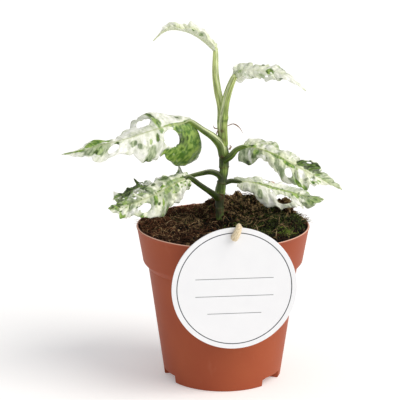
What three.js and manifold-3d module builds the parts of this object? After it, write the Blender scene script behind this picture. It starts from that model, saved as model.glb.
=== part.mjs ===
// A potted monstera with white-marbled leaves, in a small nursery pot with a round paper tag.
//
// Millimetres, +Z up. The origin is the centre of the pot's flat base, on the surface it stands on.
// +X is to the right and -Y toward the side that shows the tag.
// The stem rises a little in front of the pot's middle and bears seven leaves, left and right in turn.
import * as THREE from 'three';
import { mergeVertices } from 'three/addons/utils/BufferGeometryUtils.js';
import Module from 'manifold-3d';

const wasm = await Module();
wasm.setup();

// Clearance between two pieces that touch
const GAP = 0.3;

// Nursery pot: a thin plastic wall with a wider collar, and drain recesses round the foot
const POT_HEIGHT = 108;
const RIM_RADIUS = 60;
const RIM_BEAD = 0.8;
const COLLAR_FOOT_RADIUS = 54.6;
const COLLAR_FOOT_Z = 81.5;
const BODY_TOP_RADIUS = 50.9;
const BODY_TOP_Z = 77.5;
const BASE_RADIUS = 40.5;
const BASE_EDGE = 1;
const WALL = 1.2;
const FLOOR = 1.4;
const POT_SIDES = 64;
const RECESS = { inner: 34, height: 5.5, halfAngle: 14 };
const DRAIN_SLOT = { width: 5, height: 2.6, sill: 2, offset: 5.5 };
// Where the recesses lie, in degrees from the front (-Y) round toward +X
const RECESS_BEARINGS = [-67, 56, 174];

// Potting soil: a rough, nearly level top with a mound behind the stem
const SOIL_LEVEL = 106.2;
const SOIL_EDGE_Z = 106.4;
const SOIL_EDGE_BAND = 8;
const SOIL_SIDES = 48;
const SOIL_RINGS = 13;
const SOIL_MOUNDS = [
  { x: 5, y: 29, height: 16, spreadX: 19, spreadY: 13 },
  { x: -1, y: 2, height: 4, spreadX: 9, spreadY: 9 },
  { x: -43, y: -4, height: 4, spreadX: 9, spreadY: 14 },
  { x: 38, y: 8, height: 3.5, spreadX: 13, spreadY: 16 },
];

// Stem: points up its centre and its radius at each, thicker at the joints
const STEM_PATH = [
  [-2, 3, 84],
  [-2, 3, 98],
  [-2, 3, 112],
  [-2.4, 3, 122],
  [-1.6, 3, 133],
  [0.2, 3, 143],
  [0.5, 3, 153],
  [0.5, 3, 162.8],
];
const STEM_RADII = [3, 3, 3.1, 3.1, 3.5, 2.9, 3.4, 2.5];
const STEM_SIDES = 10;
const PETIOLE_SIDES = 8;

// Paper tag, hung on the rim by a thick cord through its hole
const TAG = { radius: 42, thickness: 1, bearing: 6.9, centreZ: 80.4 };
const TAG_HOLE = { radius: 2.6, up: 35.3 };
const CORD_RADIUS = 2.2;
// The cord is squeezed thinner where it bends over the tag's edge
const CORD_SQUEEZED = 1.4;
const CORD_RADII = [2.1, 2.1, 2.1, 1.8, CORD_SQUEEZED, 1.7, CORD_RADIUS, 2.1, 2.1, 2.1, 2.1, 2.1, 2.1];
const CORD_SIDES = 8;
const CORD_STEPS = 44;

// Leaf blades
const BLADE_HALF = 0.4;
const RIB_ABOVE = 0.25;
const RIB_BELOW = 0.9;
const BLADE_COLUMNS = [0, 0.1, 0.32, 0.55, 0.78, 1];
// How far the side veins lean toward the tip, in degrees, from base to tip after the first value
const VEIN_LEAN = [2, 10, 15, 22, 27, 33, 41, 45];
const VEIN_BEND = 20;

// The leaves, from the lowest on the stem to the top.
// rib: points along the midrib, base to tip. up: which way the upper face looks, base to tip.
// Each half, on the left or right hand of someone who looks along the rib to the tip, has:
//   width: half widths in mm, equally spaced from base to tip,
//   back: lean of the base edge in degrees, where a negative one makes a lobe behind the stalk,
//   droop: how far the half hangs, in degrees, base to tip, and curl: how much more it bends outward.
// notches: [half, place, depth, length] and holes: [half, along, across, half length, half breadth],
// as shares of the leaf's length and half width, where half is -1 for left and 1 for right.
// stalk: points from the stem to the midrib's start, with the radius at each.
const LEAVES = [
  {
    name: 'left_front',
    rows: 22,
    rib: [[-23, -16, 145], [-32, -21, 142], [-41, -25, 138], [-50, -28, 134], [-59, -30, 131],
      [-68, -31, 128], [-77, -31, 127]],
    up: [[0, -0.6, 0.8], [0, -0.65, 0.75], [0, -0.5, 0.85]],
    left: { width: [7, 11, 15, 16, 13, 8, 6, 4, 0.5], back: 5, droop: [30, 25, 10, 5, 0], curl: 32 },
    right: { width: [4, 8, 10, 10, 9, 9, 8, 5, 0.5], back: -20, droop: [0, 0, 10, 5, 0], curl: 0 },
    notches: [[-1, 0.2, 0.25, 0.03]],
    holes: [[-1, 0.54, 0.48, 0.06, 0.28], [1, 0.3, 0.5, 0.04, 0.24]],
    ruffle: { height: 1.5, waves: 5.5, shift: 0 },
    stalk: [[-3, 0, 126.5], [-8.5, -5, 132], [-15, -11, 138], [-23, -16, 145]],
    stalkRadii: [2.8, 2.2, 1.9, 1.7],
  },
  {
    name: 'left_back',
    rows: 22,
    rib: [[-23, 4, 141], [-32, 8, 140], [-41, 12, 136], [-50, 15, 132], [-60, 17, 129],
      [-70, 18, 124], [-77, 16, 121]],
    up: [[0, -0.1, 1], [0, -0.2, 1], [-0.2, -0.4, 0.85]],
    left: { width: [4, 8, 10, 10, 9, 9, 8, 5, 0.5], back: -10, droop: [10, 10, 10, 5, 0], curl: 22 },
    right: { width: [4, 9, 10, 8, 7, 8, 9, 7, 0.5], back: -20, droop: [0, 0, -10, -20, 0], curl: 15 },
    notches: [[1, 0.45, 0.3, 0.04]],
    holes: [[1, 0.35, 0.5, 0.045, 0.24]],
    ruffle: { height: 2.2, waves: 5.5, shift: 1 },
    stalk: [[0, 3, 136], [-2.5, 2, 142], [-8.5, 2, 144.5], [-16, 3, 143], [-23, 4, 141]],
    stalkRadii: [2.6, 2.2, 1.9, 1.6, 1.4],
  },
  {
    name: 'right_lower',
    rows: 22,
    rib: [[10, 6, 137], [20, 11, 134], [30, 15, 131], [40, 18, 127], [50, 20, 123], [60, 20, 120],
      [71, 19, 120]],
    up: [[0.1, -0.45, 0.85], [0.1, -0.5, 0.85], [0.1, -0.4, 0.9]],
    left: { width: [5, 9, 11, 12, 11, 10, 8, 5, 0.5], back: -20, droop: [0, 5, 5, 5, 0], curl: 15 },
    right: { width: [3, 7, 12, 15, 12, 9, 8, 5, 0.5], back: -10, droop: [20, 25, 15, 10, 0], curl: 32 },
    notches: [],
    holes: [[1, 0.5, 0.48, 0.08, 0.26], [-1, 0.33, 0.5, 0.04, 0.24]],
    ruffle: { height: 1.3, waves: 4.5, shift: 2 },
    stalk: [[-1.5, 2, 136], [3, 4, 137], [6, 5, 137.5], [10, 6, 137]],
    stalkRadii: [2.2, 1.7, 1.6, 1.5],
  },
  {
    name: 'right_upper',
    rows: 22,
    rib: [[14, -4, 163], [25, -9, 161], [36, -13, 156], [46, -16, 151], [57, -18, 145],
      [68, -19, 141], [80, -18, 138]],
    up: [[0.1, -0.6, 0.8], [0, -0.65, 0.75], [0, -0.5, 0.85]],
    left: { width: [7, 12, 12, 10, 16, 16, 13, 8, 0.5], back: -20, droop: [0, 5, 0, 5, 0], curl: 5 },
    right: { width: [11, 8, 7, 13, 14, 11, 6, 2.5, 0.5], back: -25, droop: [30, 20, 20, 10, 0], curl: 32 },
    notches: [[1, 0.27, 0.35, 0.04], [1, 0.5, 0.25, 0.03], [-1, 0.36, 0.3, 0.03]],
    holes: [[1, 0.47, 0.52, 0.04, 0.24], [-1, 0.6, 0.5, 0.04, 0.22]],
    ruffle: { height: 1.5, waves: 5.5, shift: 1 },
    stalk: [[0.5, 0, 153], [5.5, -2, 156.5], [8.5, -3, 160.5], [14, -4, 163]],
    stalkRadii: [2.6, 2.3, 1.9, 1.5],
  },
  {
    name: 'left_large',
    rows: 26,
    rib: [[-22, -4, 181], [-36, -12, 180], [-50, -18, 177], [-65, -23, 173], [-79, -26, 170],
      [-94, -27, 166], [-108, -26, 163]],
    up: [[0.1, -0.75, 0.65], [0, -0.7, 0.7], [0, -0.6, 0.8]],
    left: { width: [27, 28, 17, 20, 12, 11, 9.5, 3.5, 0.5], back: -22, droop: [35, 15, 10, 5, 0], curl: 34 },
    right: { width: [3, 9, 13, 16, 13, 11, 11, 5, 0.5], back: -30, droop: [0, 0, 30, 5, 0], curl: 12 },
    notches: [[-1, 0.46, 0.25, 0.03], [-1, 0.29, 0.15, 0.03], [1, 0.56, 0.45, 0.035]],
    holes: [[-1, 0.185, 0.44, 0.062, 0.27], [-1, 0.6, 0.48, 0.045, 0.3], [1, 0.38, 0.52, 0.05, 0.26]],
    ruffle: { height: 1.2, waves: 4.5, shift: 0.5 },
    stalk: [[0.5, 1, 156.5], [-1.5, 0, 163.5], [-7, -2, 170], [-14, -3, 175], [-22, -4, 181]],
    stalkRadii: [3.7, 3.4, 2.6, 2.1, 1.6],
  },
  {
    name: 'top_right',
    rows: 20,
    rib: [[7, -2, 211], [11, -4, 216], [18, -6, 217], [26, -8, 216.5], [35, -10, 216.5], [45, -12, 212.5],
      [55, -12, 204]],
    up: [[0.2, -0.7, 0.6], [0, -0.7, 0.7], [0.4, -0.6, 0.6]],
    left: { width: [3, 7, 9, 9, 8.5, 8, 3, 2, 0.5], back: 0, droop: [10, 10, 10, 20, 0], curl: 20 },
    right: { width: [5, 8, 7, 6.5, 7, 7, 4, 2, 0.5], back: 0, droop: [20, 20, 20, 20, 0], curl: 30 },
    notches: [],
    holes: [[1, 0.55, 0.5, 0.05, 0.24]],
    ruffle: { height: 1, waves: 5.5, shift: 0 },
    stalk: [[0.5, 1.5, 163.3], [-0.5, 1, 178], [1.2, 0, 192], [3.6, -1, 202], [7, -2, 211]],
    stalkRadii: [2.9, 3.4, 2.8, 2.5, 2],
  },
  {
    name: 'top_left',
    rows: 20,
    rib: [[-5.5, 4, 228], [-11, 2, 233.5], [-19, 0, 239.5], [-27, -2, 243], [-35, -4, 244],
      [-41, -6, 242], [-47, -8, 237]],
    up: [[0.3, -0.6, 0.7], [0.2, -0.6, 0.8], [-0.4, -0.6, 0.6]],
    left: { width: [2, 5, 7, 6, 4, 6, 5, 2.5, 0.4], back: 0, droop: [-20, -60, -50, -50, 0], curl: -30 },
    right: { width: [3, 7, 9, 9, 5, 7, 6, 3, 0.4], back: -20, droop: [-40, -40, -40, -40, 0], curl: 45 },
    notches: [],
    holes: [],
    ruffle: { height: 1, waves: 5.5, shift: 0 },
    stalk: [[-1.5, 4, 177.5], [-1.5, 5, 189], [-4, 5, 201], [-5.5, 5, 213.5], [-5.5, 4, 228]],
    stalkRadii: [2.8, 2.7, 2.5, 2.2, 1.7],
  },
];

// Dried strands of old leaf sheath that curl off the stem, with their radius
const STRAND_RADIUS = 0.45;
const DRIED_STRANDS = [
  {
    name: 'dried_strand_right',
    path: [[2.4, 0.5, 178.5], [8, -1, 181.5], [12.5, -2, 179.5], [15.5, -3, 174]],
  },
  {
    name: 'dried_strand_left',
    path: [[-3, 1.5, 175.5], [-7.2, -1, 177.5], [-8, -2, 180.5]],
  },
];

const MATERIALS = {
  pot: new THREE.MeshStandardMaterial({ color: 0xa9563e, roughness: 0.6, metalness: 0 }),
  soil: new THREE.MeshStandardMaterial({ color: 0x2a1e16, roughness: 1, metalness: 0 }),
  stem: new THREE.MeshStandardMaterial({ color: 0x5b7432, roughness: 0.6, metalness: 0 }),
  stalk: new THREE.MeshStandardMaterial({ color: 0x8fa860, roughness: 0.5, metalness: 0 }),
  leaf: new THREE.MeshStandardMaterial({ color: 0xdde5cf, roughness: 0.5, metalness: 0 }),
  tag: new THREE.MeshStandardMaterial({ color: 0xf4f5f6, roughness: 0.8, metalness: 0 }),
  cord: new THREE.MeshStandardMaterial({ color: 0xe3d3a8, roughness: 0.95, metalness: 0 }),
  dried: new THREE.MeshStandardMaterial({ color: 0x8a6a50, roughness: 0.9, metalness: 0 }),
};

// Numbers and curves

function radians(degrees) {
  return (degrees * Math.PI) / 180;
}

// A smooth curve through equally spaced numbers, from the first at s = 0 to the last at s = 1.
function along(values, s) {
  const last = values.length - 1;
  const i = Math.min(Math.floor(s * last), last - 1);
  const f = s * last - i;
  const here = values[i];
  const next = values[i + 1];
  const before = i > 0 ? values[i - 1] : 2 * here - next;
  const after = i + 2 <= last ? values[i + 2] : 2 * next - here;
  const slopeHere = (next - before) / 2;
  const slopeNext = (after - here) / 2;
  const cubic = 2 * here - 2 * next + slopeHere + slopeNext;
  const square = 3 * (next - here) - 2 * slopeHere - slopeNext;
  return ((cubic * f + square) * f + slopeHere) * f + here;
}

function curveThrough(points) {
  const vectors = points.map((p) => new THREE.Vector3(...p));
  return new THREE.CatmullRomCurve3(vectors, false, 'catmullrom', 0.5);
}

// Solids: closed meshes that can be cut

function solidFrom(geometry) {
  const bare = geometry.index ? geometry.toNonIndexed() : geometry.clone();
  bare.deleteAttribute('normal');
  bare.deleteAttribute('uv');
  const merged = mergeVertices(bare, 1e-4);
  const mesh = new wasm.Mesh({
    numProp: 3,
    vertProperties: merged.attributes.position.array,
    triVerts: new Uint32Array(merged.index.array),
  });
  return new wasm.Manifold(mesh);
}

// The largest body of a solid: a cut can leave a loose scrap, which is dropped.
function largestBody(solid) {
  const bodies = solid.decompose();
  bodies.sort((a, b) => b.volume() - a.volume());
  return bodies[0];
}

function geometryFrom(solid) {
  const mesh = largestBody(solid).getMesh();
  const geometry = new THREE.BufferGeometry();
  geometry.setAttribute('position', new THREE.BufferAttribute(mesh.vertProperties, 3));
  geometry.setIndex(new THREE.BufferAttribute(mesh.triVerts, 1));
  const faceted = geometry.toNonIndexed();
  faceted.computeVertexNormals();
  return faceted;
}

function cutAway(solid, tools) {
  return tools.reduce((rest, tool) => rest.subtract(tool), solid);
}

// A closed solid from a list of points and the triangles between them.
function solidOf(points, indices) {
  const geometry = new THREE.BufferGeometry().setFromPoints(points);
  geometry.setIndex(indices);
  return solidFrom(geometry);
}

// A closed solid of rings with equally many points, one after another, and a point at each end.
// Each ring turns counterclockwise for someone who looks back from the last end.
function solidOfRings(first, rings, last) {
  const sides = rings[0].length;
  const end = 1 + (rings.length - 1) * sides;
  const indices = [];
  for (let j = 0; j < sides; j += 1) {
    const k = (j + 1) % sides;
    indices.push(0, 1 + k, 1 + j, end + j, end + k, end + sides);
    for (let i = 0; i < rings.length - 1; i += 1) {
      const a = 1 + i * sides + j;
      const b = 1 + i * sides + k;
      indices.push(a, b, b + sides, a, b + sides, a + sides);
    }
  }
  return solidOf([first, ...rings.flat(), last], indices);
}

// Points on a circle that turns from the first direction toward the second.
function circle(middle, firstWay, secondWay, radius, sides) {
  return Array.from({ length: sides }, (_, j) => {
    const angle = (2 * Math.PI * j) / sides;
    const point = middle.clone().addScaledVector(firstWay, radius * Math.cos(angle));
    return point.addScaledVector(secondWay, radius * Math.sin(angle));
  });
}

// A closed tube along a curve with a radius that changes along it.
// grow widens it and lengthens both ends, which makes the tool for a clear hole round it.
function tube(points, radii, sides, steps, grow = 0) {
  const curve = curveThrough(points);
  const frames = curve.computeFrenetFrames(steps, false);
  const first = curve.getPoint(0).addScaledVector(frames.tangents[0], -grow);
  const last = curve.getPoint(1).addScaledVector(frames.tangents[steps], grow);
  const rings = frames.tangents.map((tangent, i) => {
    const middle = i === 0 ? first : i === steps ? last : curve.getPoint(i / steps);
    const radius = along(radii, i / steps) + grow;
    return circle(middle, frames.normals[i], frames.binormals[i], radius, sides);
  });
  return solidOfRings(first, rings, last);
}

function lathe(profile, sides) {
  const points = profile.map(([r, z]) => new THREE.Vector2(r, z));
  const geometry = new THREE.LatheGeometry(points, sides);
  geometry.rotateX(Math.PI / 2);
  return solidFrom(geometry);
}

// Pot

function potOuterProfile() {
  return [
    [0, 0],
    [BASE_RADIUS - BASE_EDGE, 0],
    [BASE_RADIUS, BASE_EDGE],
    [BODY_TOP_RADIUS, BODY_TOP_Z],
    [COLLAR_FOOT_RADIUS, COLLAR_FOOT_Z],
    [RIM_RADIUS - RIM_BEAD, POT_HEIGHT - 4 * RIM_BEAD],
    [RIM_RADIUS, POT_HEIGHT - 3 * RIM_BEAD],
    [RIM_RADIUS, POT_HEIGHT - RIM_BEAD],
    [RIM_RADIUS - RIM_BEAD, POT_HEIGHT],
    [0, POT_HEIGHT],
  ];
}

// The hollow of the pot, or what fills it when inset adds a clearance: up to topZ.
function potInnerProfile(inset, topZ) {
  const side = WALL + inset;
  const slope = (RIM_RADIUS - RIM_BEAD - COLLAR_FOOT_RADIUS) / (POT_HEIGHT - 4 * RIM_BEAD - COLLAR_FOOT_Z);
  return [
    [0, FLOOR + inset],
    [BASE_RADIUS - side, FLOOR + inset],
    [BODY_TOP_RADIUS - side, BODY_TOP_Z + WALL / 2],
    [COLLAR_FOOT_RADIUS - side, COLLAR_FOOT_Z + WALL / 2],
    [COLLAR_FOOT_RADIUS - side + slope * (topZ - COLLAR_FOOT_Z), topZ],
    [0, topZ],
  ];
}

// Turns what is drawn toward +X to face a bearing, in degrees from the front toward +X.
function turnToBearing(geometry, bearing) {
  return geometry.rotateZ(radians(bearing - 90));
}

// A block in the shape of a slice of a ring, from the ground up.
function recessBlock(bearing, grow) {
  const inner = RECESS.inner - grow;
  const outer = BASE_RADIUS + 4;
  const half = radians(RECESS.halfAngle) + grow / BASE_RADIUS;
  const outline = new THREE.Shape();
  outline.absarc(0, 0, outer, -half, half, false);
  outline.absarc(0, 0, inner, half, -half, true);
  outline.closePath();
  const depth = RECESS.height + grow + 1;
  const geometry = new THREE.ExtrudeGeometry(outline, { depth, bevelEnabled: false, curveSegments: 6 });
  geometry.translate(0, 0, -1);
  return solidFrom(turnToBearing(geometry, bearing));
}

function drainSlot(bearing, sideways) {
  const geometry = new THREE.BoxGeometry(4 * WALL, DRAIN_SLOT.width, DRAIN_SLOT.height);
  const z = DRAIN_SLOT.sill + DRAIN_SLOT.height / 2;
  geometry.translate(RECESS.inner - WALL / 2, sideways, z);
  return solidFrom(turnToBearing(geometry, bearing));
}

function makePot() {
  const recesses = RECESS_BEARINGS.map((bearing) => recessBlock(bearing, 0));
  const shields = RECESS_BEARINGS.map((bearing) => recessBlock(bearing, WALL));
  const body = cutAway(lathe(potOuterProfile(), POT_SIDES), recesses);
  const hollow = cutAway(lathe(potInnerProfile(0, POT_HEIGHT + 1), POT_SIDES), shields);
  const slots = RECESS_BEARINGS.flatMap((bearing) => [
    drainSlot(bearing, -DRAIN_SLOT.offset),
    drainSlot(bearing, DRAIN_SLOT.offset),
  ]);
  return cutAway(body, [hollow, ...slots]);
}

// Soil

// Height of the soil's rough top above the ground.
function soilHeight(x, y) {
  let z = SOIL_LEVEL;
  for (const mound of SOIL_MOUNDS) {
    const dx = (x - mound.x) / mound.spreadX;
    const dy = (y - mound.y) / mound.spreadY;
    z += mound.height * Math.exp(-(dx * dx + dy * dy));
  }
  z += 1.1 * Math.sin(0.33 * x + 1.3) * Math.sin(0.29 * y + 0.4);
  z += 0.7 * Math.sin(0.61 * x - 0.42 * y + 2.1);
  z += 0.5 * Math.sin(0.87 * x + 0.95 * y);
  return z;
}

// Rings up the inside of the pot to the soil's edge, then inward over its rough top.
function makeSoil(holes) {
  const profile = potInnerProfile(GAP, SOIL_EDGE_Z).slice(1, -1);
  const edge = profile[profile.length - 1][0];
  const right = new THREE.Vector3(1, 0, 0);
  const back = new THREE.Vector3(0, 1, 0);
  const ringAt = (radius, z) => circle(new THREE.Vector3(0, 0, z), right, back, radius, SOIL_SIDES);
  const rings = profile.map(([radius, z]) => ringAt(radius, z));
  for (let i = SOIL_RINGS - 1; i > 0; i -= 1) {
    const radius = (edge * i) / SOIL_RINGS;
    const share = Math.min(1, (edge - radius) / SOIL_EDGE_BAND);
    const ring = ringAt(radius, SOIL_EDGE_Z);
    ring.forEach((point) => {
      point.z += (soilHeight(point.x, point.y) - SOIL_EDGE_Z) * share;
    });
    rings.push(ring);
  }
  const bottom = new THREE.Vector3(0, 0, FLOOR + GAP);
  const top = new THREE.Vector3(0, 0, soilHeight(0, 0));
  const shields = RECESS_BEARINGS.map((bearing) => recessBlock(bearing, WALL + GAP));
  return cutAway(solidOfRings(bottom, rings, top), [...shields, ...holes]);
}

// Leaves

// Point of the blade's middle layer, at s along the rib and t across, from -1 at the left edge to 1.
function bladePoint(leaf, curves, s, t) {
  const half = t < 0 ? leaf.left : leaf.right;
  const side = t < 0 ? -1 : 1;
  const a = Math.abs(t);
  const tangent = curves.rib.getTangent(s);
  const up = curves.up.getPoint(s);
  up.addScaledVector(tangent, -up.dot(tangent)).normalize();
  const across = new THREE.Vector3().crossVectors(tangent, up);
  let width = along(half.width, s);
  for (const [notchSide, place, depth, length] of leaf.notches) {
    const away = (s - place) / length;
    if (notchSide === side) {
      width *= 1 - depth * Math.exp(-away * away);
    }
  }
  const lean = radians(along([half.back, ...VEIN_LEAN], s) + VEIN_BEND * (a - 0.5));
  const droop = radians(along(half.droop, s) + half.curl * (1 - s) * a);
  const outward = across.multiplyScalar(side * Math.cos(droop)).addScaledVector(up, -Math.sin(droop));
  const { height, waves, shift } = leaf.ruffle;
  const wave = Math.sin(2 * Math.PI * waves * s + shift + side * 1.1);
  const point = curves.rib.getPoint(s);
  point.addScaledVector(outward, width * a * Math.cos(lean));
  point.addScaledVector(tangent, width * a * Math.sin(lean));
  point.addScaledVector(up, height * wave * a * a * Math.min(1, width / 8));
  return point;
}

// The grid of s and t over a blade. Round each hole a block of cells is left out,
// and the grid round it is drawn smoothly onto the hole's ellipse.
function bladeGrid(leaf) {
  const across = [...BLADE_COLUMNS.slice(1).reverse().map((t) => -t), ...BLADE_COLUMNS];
  const middle = BLADE_COLUMNS.length - 1;
  const rows = leaf.rows;
  const nearest = (t) => BLADE_COLUMNS.reduce((best, c, j) => (
    Math.abs(c - t) < Math.abs(BLADE_COLUMNS[best] - t) ? j : best), 0);
  const blocks = leaf.holes.map(([side, place, off, length, breadth]) => {
    const i0 = Math.max(1, Math.round((place - length) * rows));
    const i1 = Math.max(i0 + 2, Math.round((place + length) * rows));
    const j0 = Math.max(1, nearest(off - breadth));
    const j1 = Math.min(middle - 1, Math.max(j0 + 2, nearest(off + breadth)));
    const ends = side > 0 ? [middle + j0, middle + j1] : [middle - j1, middle - j0];
    return { side, place, off, length, breadth, i0, i1, j0: ends[0], j1: ends[1] };
  });
  const grid = [];
  for (let i = 0; i <= rows; i += 1) {
    grid.push(across.map((t0) => drawnOntoHoles(blocks, i / rows, t0, across, rows)));
  }
  const isOpen = (i, j) => blocks.some((b) => i >= b.i0 && i < b.i1 && j >= b.j0 && j < b.j1);
  return { grid, isOpen, rows, columns: across.length - 1 };
}

function drawnOntoHoles(blocks, s0, t0, across, rows) {
  let s = s0;
  let t = t0;
  for (const b of blocks) {
    const middleS = (b.i0 + b.i1) / 2 / rows;
    const halfS = (b.i1 - b.i0) / 2 / rows;
    const middleT = (across[b.j0] + across[b.j1]) / 2;
    const halfT = (across[b.j1] - across[b.j0]) / 2;
    const u = (s0 - middleS) / halfS;
    const v = (t0 - middleT) / halfT;
    const ring = Math.max(Math.abs(u), Math.abs(v));
    const onRibOrEdge = t0 === 0 || Math.abs(t0) > 0.999;
    if (ring > 0.999 && ring < 2 && !onRibOrEdge) {
      const boxU = u / ring;
      const boxV = v / ring;
      const roundU = boxU * Math.sqrt(1 - (boxV * boxV) / 2);
      const roundV = boxV * Math.sqrt(1 - (boxU * boxU) / 2);
      const pull = 2 - Math.max(ring, 1);
      s += pull * (b.place + b.length * roundU - middleS - halfS * boxU);
      t += pull * (b.side * b.off + b.breadth * roundV - middleT - halfT * boxV);
    }
  }
  return [s, t];
}

// A thin closed blade: the grid's points are moved out on both sides along the surface's normal.
// Both faces are split into the same triangles, and a wall closes every free edge.
function makeBlade(leaf) {
  const curves = { rib: curveThrough(leaf.rib), up: curveThrough(leaf.up) };
  const { grid, isOpen, rows, columns } = bladeGrid(leaf);
  const points = grid.map((row) => row.map(([s, t]) => bladePoint(leaf, curves, s, t)));
  const vertices = [];
  for (let i = 0; i <= rows; i += 1) {
    for (let j = 0; j <= columns; j += 1) {
      const back = points[Math.max(i - 1, 0)][j];
      const ahead = points[Math.min(i + 1, rows)][j];
      const leftward = points[i][Math.max(j - 1, 0)];
      const rightward = points[i][Math.min(j + 1, columns)];
      const down = new THREE.Vector3().subVectors(ahead, back);
      const sideways = new THREE.Vector3().subVectors(rightward, leftward);
      const normal = new THREE.Vector3().crossVectors(sideways, down).normalize();
      const onRib = grid[i][j][1] === 0 ? 1 - 0.7 * grid[i][j][0] : 0;
      const above = points[i][j].clone().addScaledVector(normal, BLADE_HALF + RIB_ABOVE * onRib);
      const below = points[i][j].clone().addScaledVector(normal, -BLADE_HALF - RIB_BELOW * onRib);
      vertices.push(above, below);
    }
  }
  const upper = (i, j) => 2 * (i * (columns + 1) + j);
  const lower = (i, j) => upper(i, j) + 1;
  const closed = (i, j) => i >= 0 && j >= 0 && i < rows && j < columns && !isOpen(i, j);
  const indices = [];
  const wall = (i0, j0, i1, j1) => {
    indices.push(upper(i0, j0), lower(i0, j0), lower(i1, j1));
    indices.push(upper(i0, j0), lower(i1, j1), upper(i1, j1));
  };
  for (let i = 0; i < rows; i += 1) {
    for (let j = 0; j < columns; j += 1) {
      if (closed(i, j)) {
        indices.push(upper(i, j), upper(i, j + 1), upper(i + 1, j + 1));
        indices.push(upper(i, j), upper(i + 1, j + 1), upper(i + 1, j));
        indices.push(lower(i, j), lower(i + 1, j + 1), lower(i, j + 1));
        indices.push(lower(i, j), lower(i + 1, j), lower(i + 1, j + 1));
        if (!closed(i - 1, j)) wall(i, j, i, j + 1);
        if (!closed(i, j + 1)) wall(i, j + 1, i + 1, j + 1);
        if (!closed(i + 1, j)) wall(i + 1, j + 1, i + 1, j);
        if (!closed(i, j - 1)) wall(i + 1, j, i, j);
      }
    }
  }
  return solidOf(vertices, indices);
}

// Tag and its cord

// Moves what is drawn in the tag's own frame (face toward -Y, centre at 0) to its place on the rim.
function placeOnRim(geometry) {
  const out = RIM_RADIUS + GAP + TAG.thickness / 2;
  geometry.translate(0, -out, TAG.centreZ);
  geometry.rotateZ(radians(TAG.bearing));
  return geometry;
}

function makeTag() {
  const outline = new THREE.Shape().absarc(0, 0, TAG.radius, 0, 2 * Math.PI, false);
  outline.holes.push(new THREE.Path().absarc(0, TAG_HOLE.up, TAG_HOLE.radius, 0, 2 * Math.PI, true));
  const options = { depth: TAG.thickness, bevelEnabled: false, curveSegments: 32 };
  const geometry = new THREE.ExtrudeGeometry(outline, options);
  geometry.translate(0, 0, -TAG.thickness / 2);
  geometry.rotateX(Math.PI / 2);
  return solidFrom(placeOnRim(geometry));
}

// The cord's route in the tag's own frame, as [right, behind, up] from the tag's centre:
// out of the soil, up behind the tag, over its top edge, down its face, in at the hole,
// and back over the rim into the soil.
function cordPath() {
  const clear = TAG.thickness / 2 + GAP + CORD_RADIUS;
  const crest = TAG.radius + GAP + CORD_SQUEEZED;
  const route = [
    [10, 13, 14],
    [9, 10, 26],
    [6.8, clear + 2.4, 36],
    [4.6, clear + 0.2, crest - 1.6],
    [4.2, 0.3, crest],
    [3.4, -clear + 0.2, crest - 2],
    [1.6, -clear - 0.4, 39],
    [0.2, -clear + 0.3, TAG_HOLE.up + 0.5],
    [0, 0, TAG_HOLE.up],
    [-0.2, clear + 0.2, TAG_HOLE.up - 0.4],
    [-0.8, 8, 32],
    [-1.5, 12, 24],
    [-2, 14, 14],
  ];
  const out = RIM_RADIUS + GAP + TAG.thickness / 2;
  const turn = radians(TAG.bearing);
  return route.map(([right, behind, up]) => {
    const y = behind - out;
    const x = right * Math.cos(turn) - y * Math.sin(turn);
    return [x, right * Math.sin(turn) + y * Math.cos(turn), TAG.centreZ + up];
  });
}

// Assembly

const part = new THREE.Group();

function addPiece(name, solid, material) {
  const mesh = new THREE.Mesh(geometryFrom(solid), material);
  mesh.name = name;
  part.add(mesh);
}

addPiece('pot', makePot(), MATERIALS.pot);

const cordHole = tube(cordPath(), CORD_RADII, CORD_SIDES, CORD_STEPS, GAP);
const stemHole = tube(STEM_PATH, STEM_RADII, STEM_SIDES, 28, GAP);
addPiece('soil', makeSoil([stemHole, cordHole]), MATERIALS.soil);
addPiece('stem', tube(STEM_PATH, STEM_RADII, STEM_SIDES, 28), MATERIALS.stem);

// Each stalk is cut clear of the stem and of the stalks already in place.
const rooms = [stemHole];
const stalkOrder = ['left_front', 'left_back', 'right_lower', 'top_right', 'left_large', 'right_upper',
  'top_left'];
for (const name of stalkOrder) {
  const leaf = LEAVES.find((each) => each.name === name);
  const steps = 3 * (leaf.stalk.length - 1) + 2;
  const stalk = tube(leaf.stalk, leaf.stalkRadii, PETIOLE_SIDES, steps);
  addPiece('petiole_' + name, cutAway(stalk, rooms), MATERIALS.stalk);
  rooms.push(tube(leaf.stalk, leaf.stalkRadii, PETIOLE_SIDES, steps, GAP));
}
for (const leaf of LEAVES) {
  addPiece('leaf_' + leaf.name, cutAway(makeBlade(leaf), rooms), MATERIALS.leaf);
}

for (const { name, path } of DRIED_STRANDS) {
  const radii = [STRAND_RADIUS, STRAND_RADIUS];
  addPiece(name, cutAway(tube(path, radii, 6, 8), rooms), MATERIALS.dried);
}

addPiece('tag', makeTag(), MATERIALS.tag);
addPiece('tag_cord', tube(cordPath(), CORD_RADII, CORD_SIDES, CORD_STEPS), MATERIALS.cord);

export default part;
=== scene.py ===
# %% [markdown]
# # A potted monstera with white-marbled leaves
#
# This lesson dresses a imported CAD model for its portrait. The object is a young monstera in a
# terracotta-coloured nursery pot, with a round card tag on a fibre cord. The CAD model fixes every
# size and place. Here each part gets a finer surface, worked out from the same few numbers, and a
# finish that starts from what the real material is.

import itertools
import math

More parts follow.
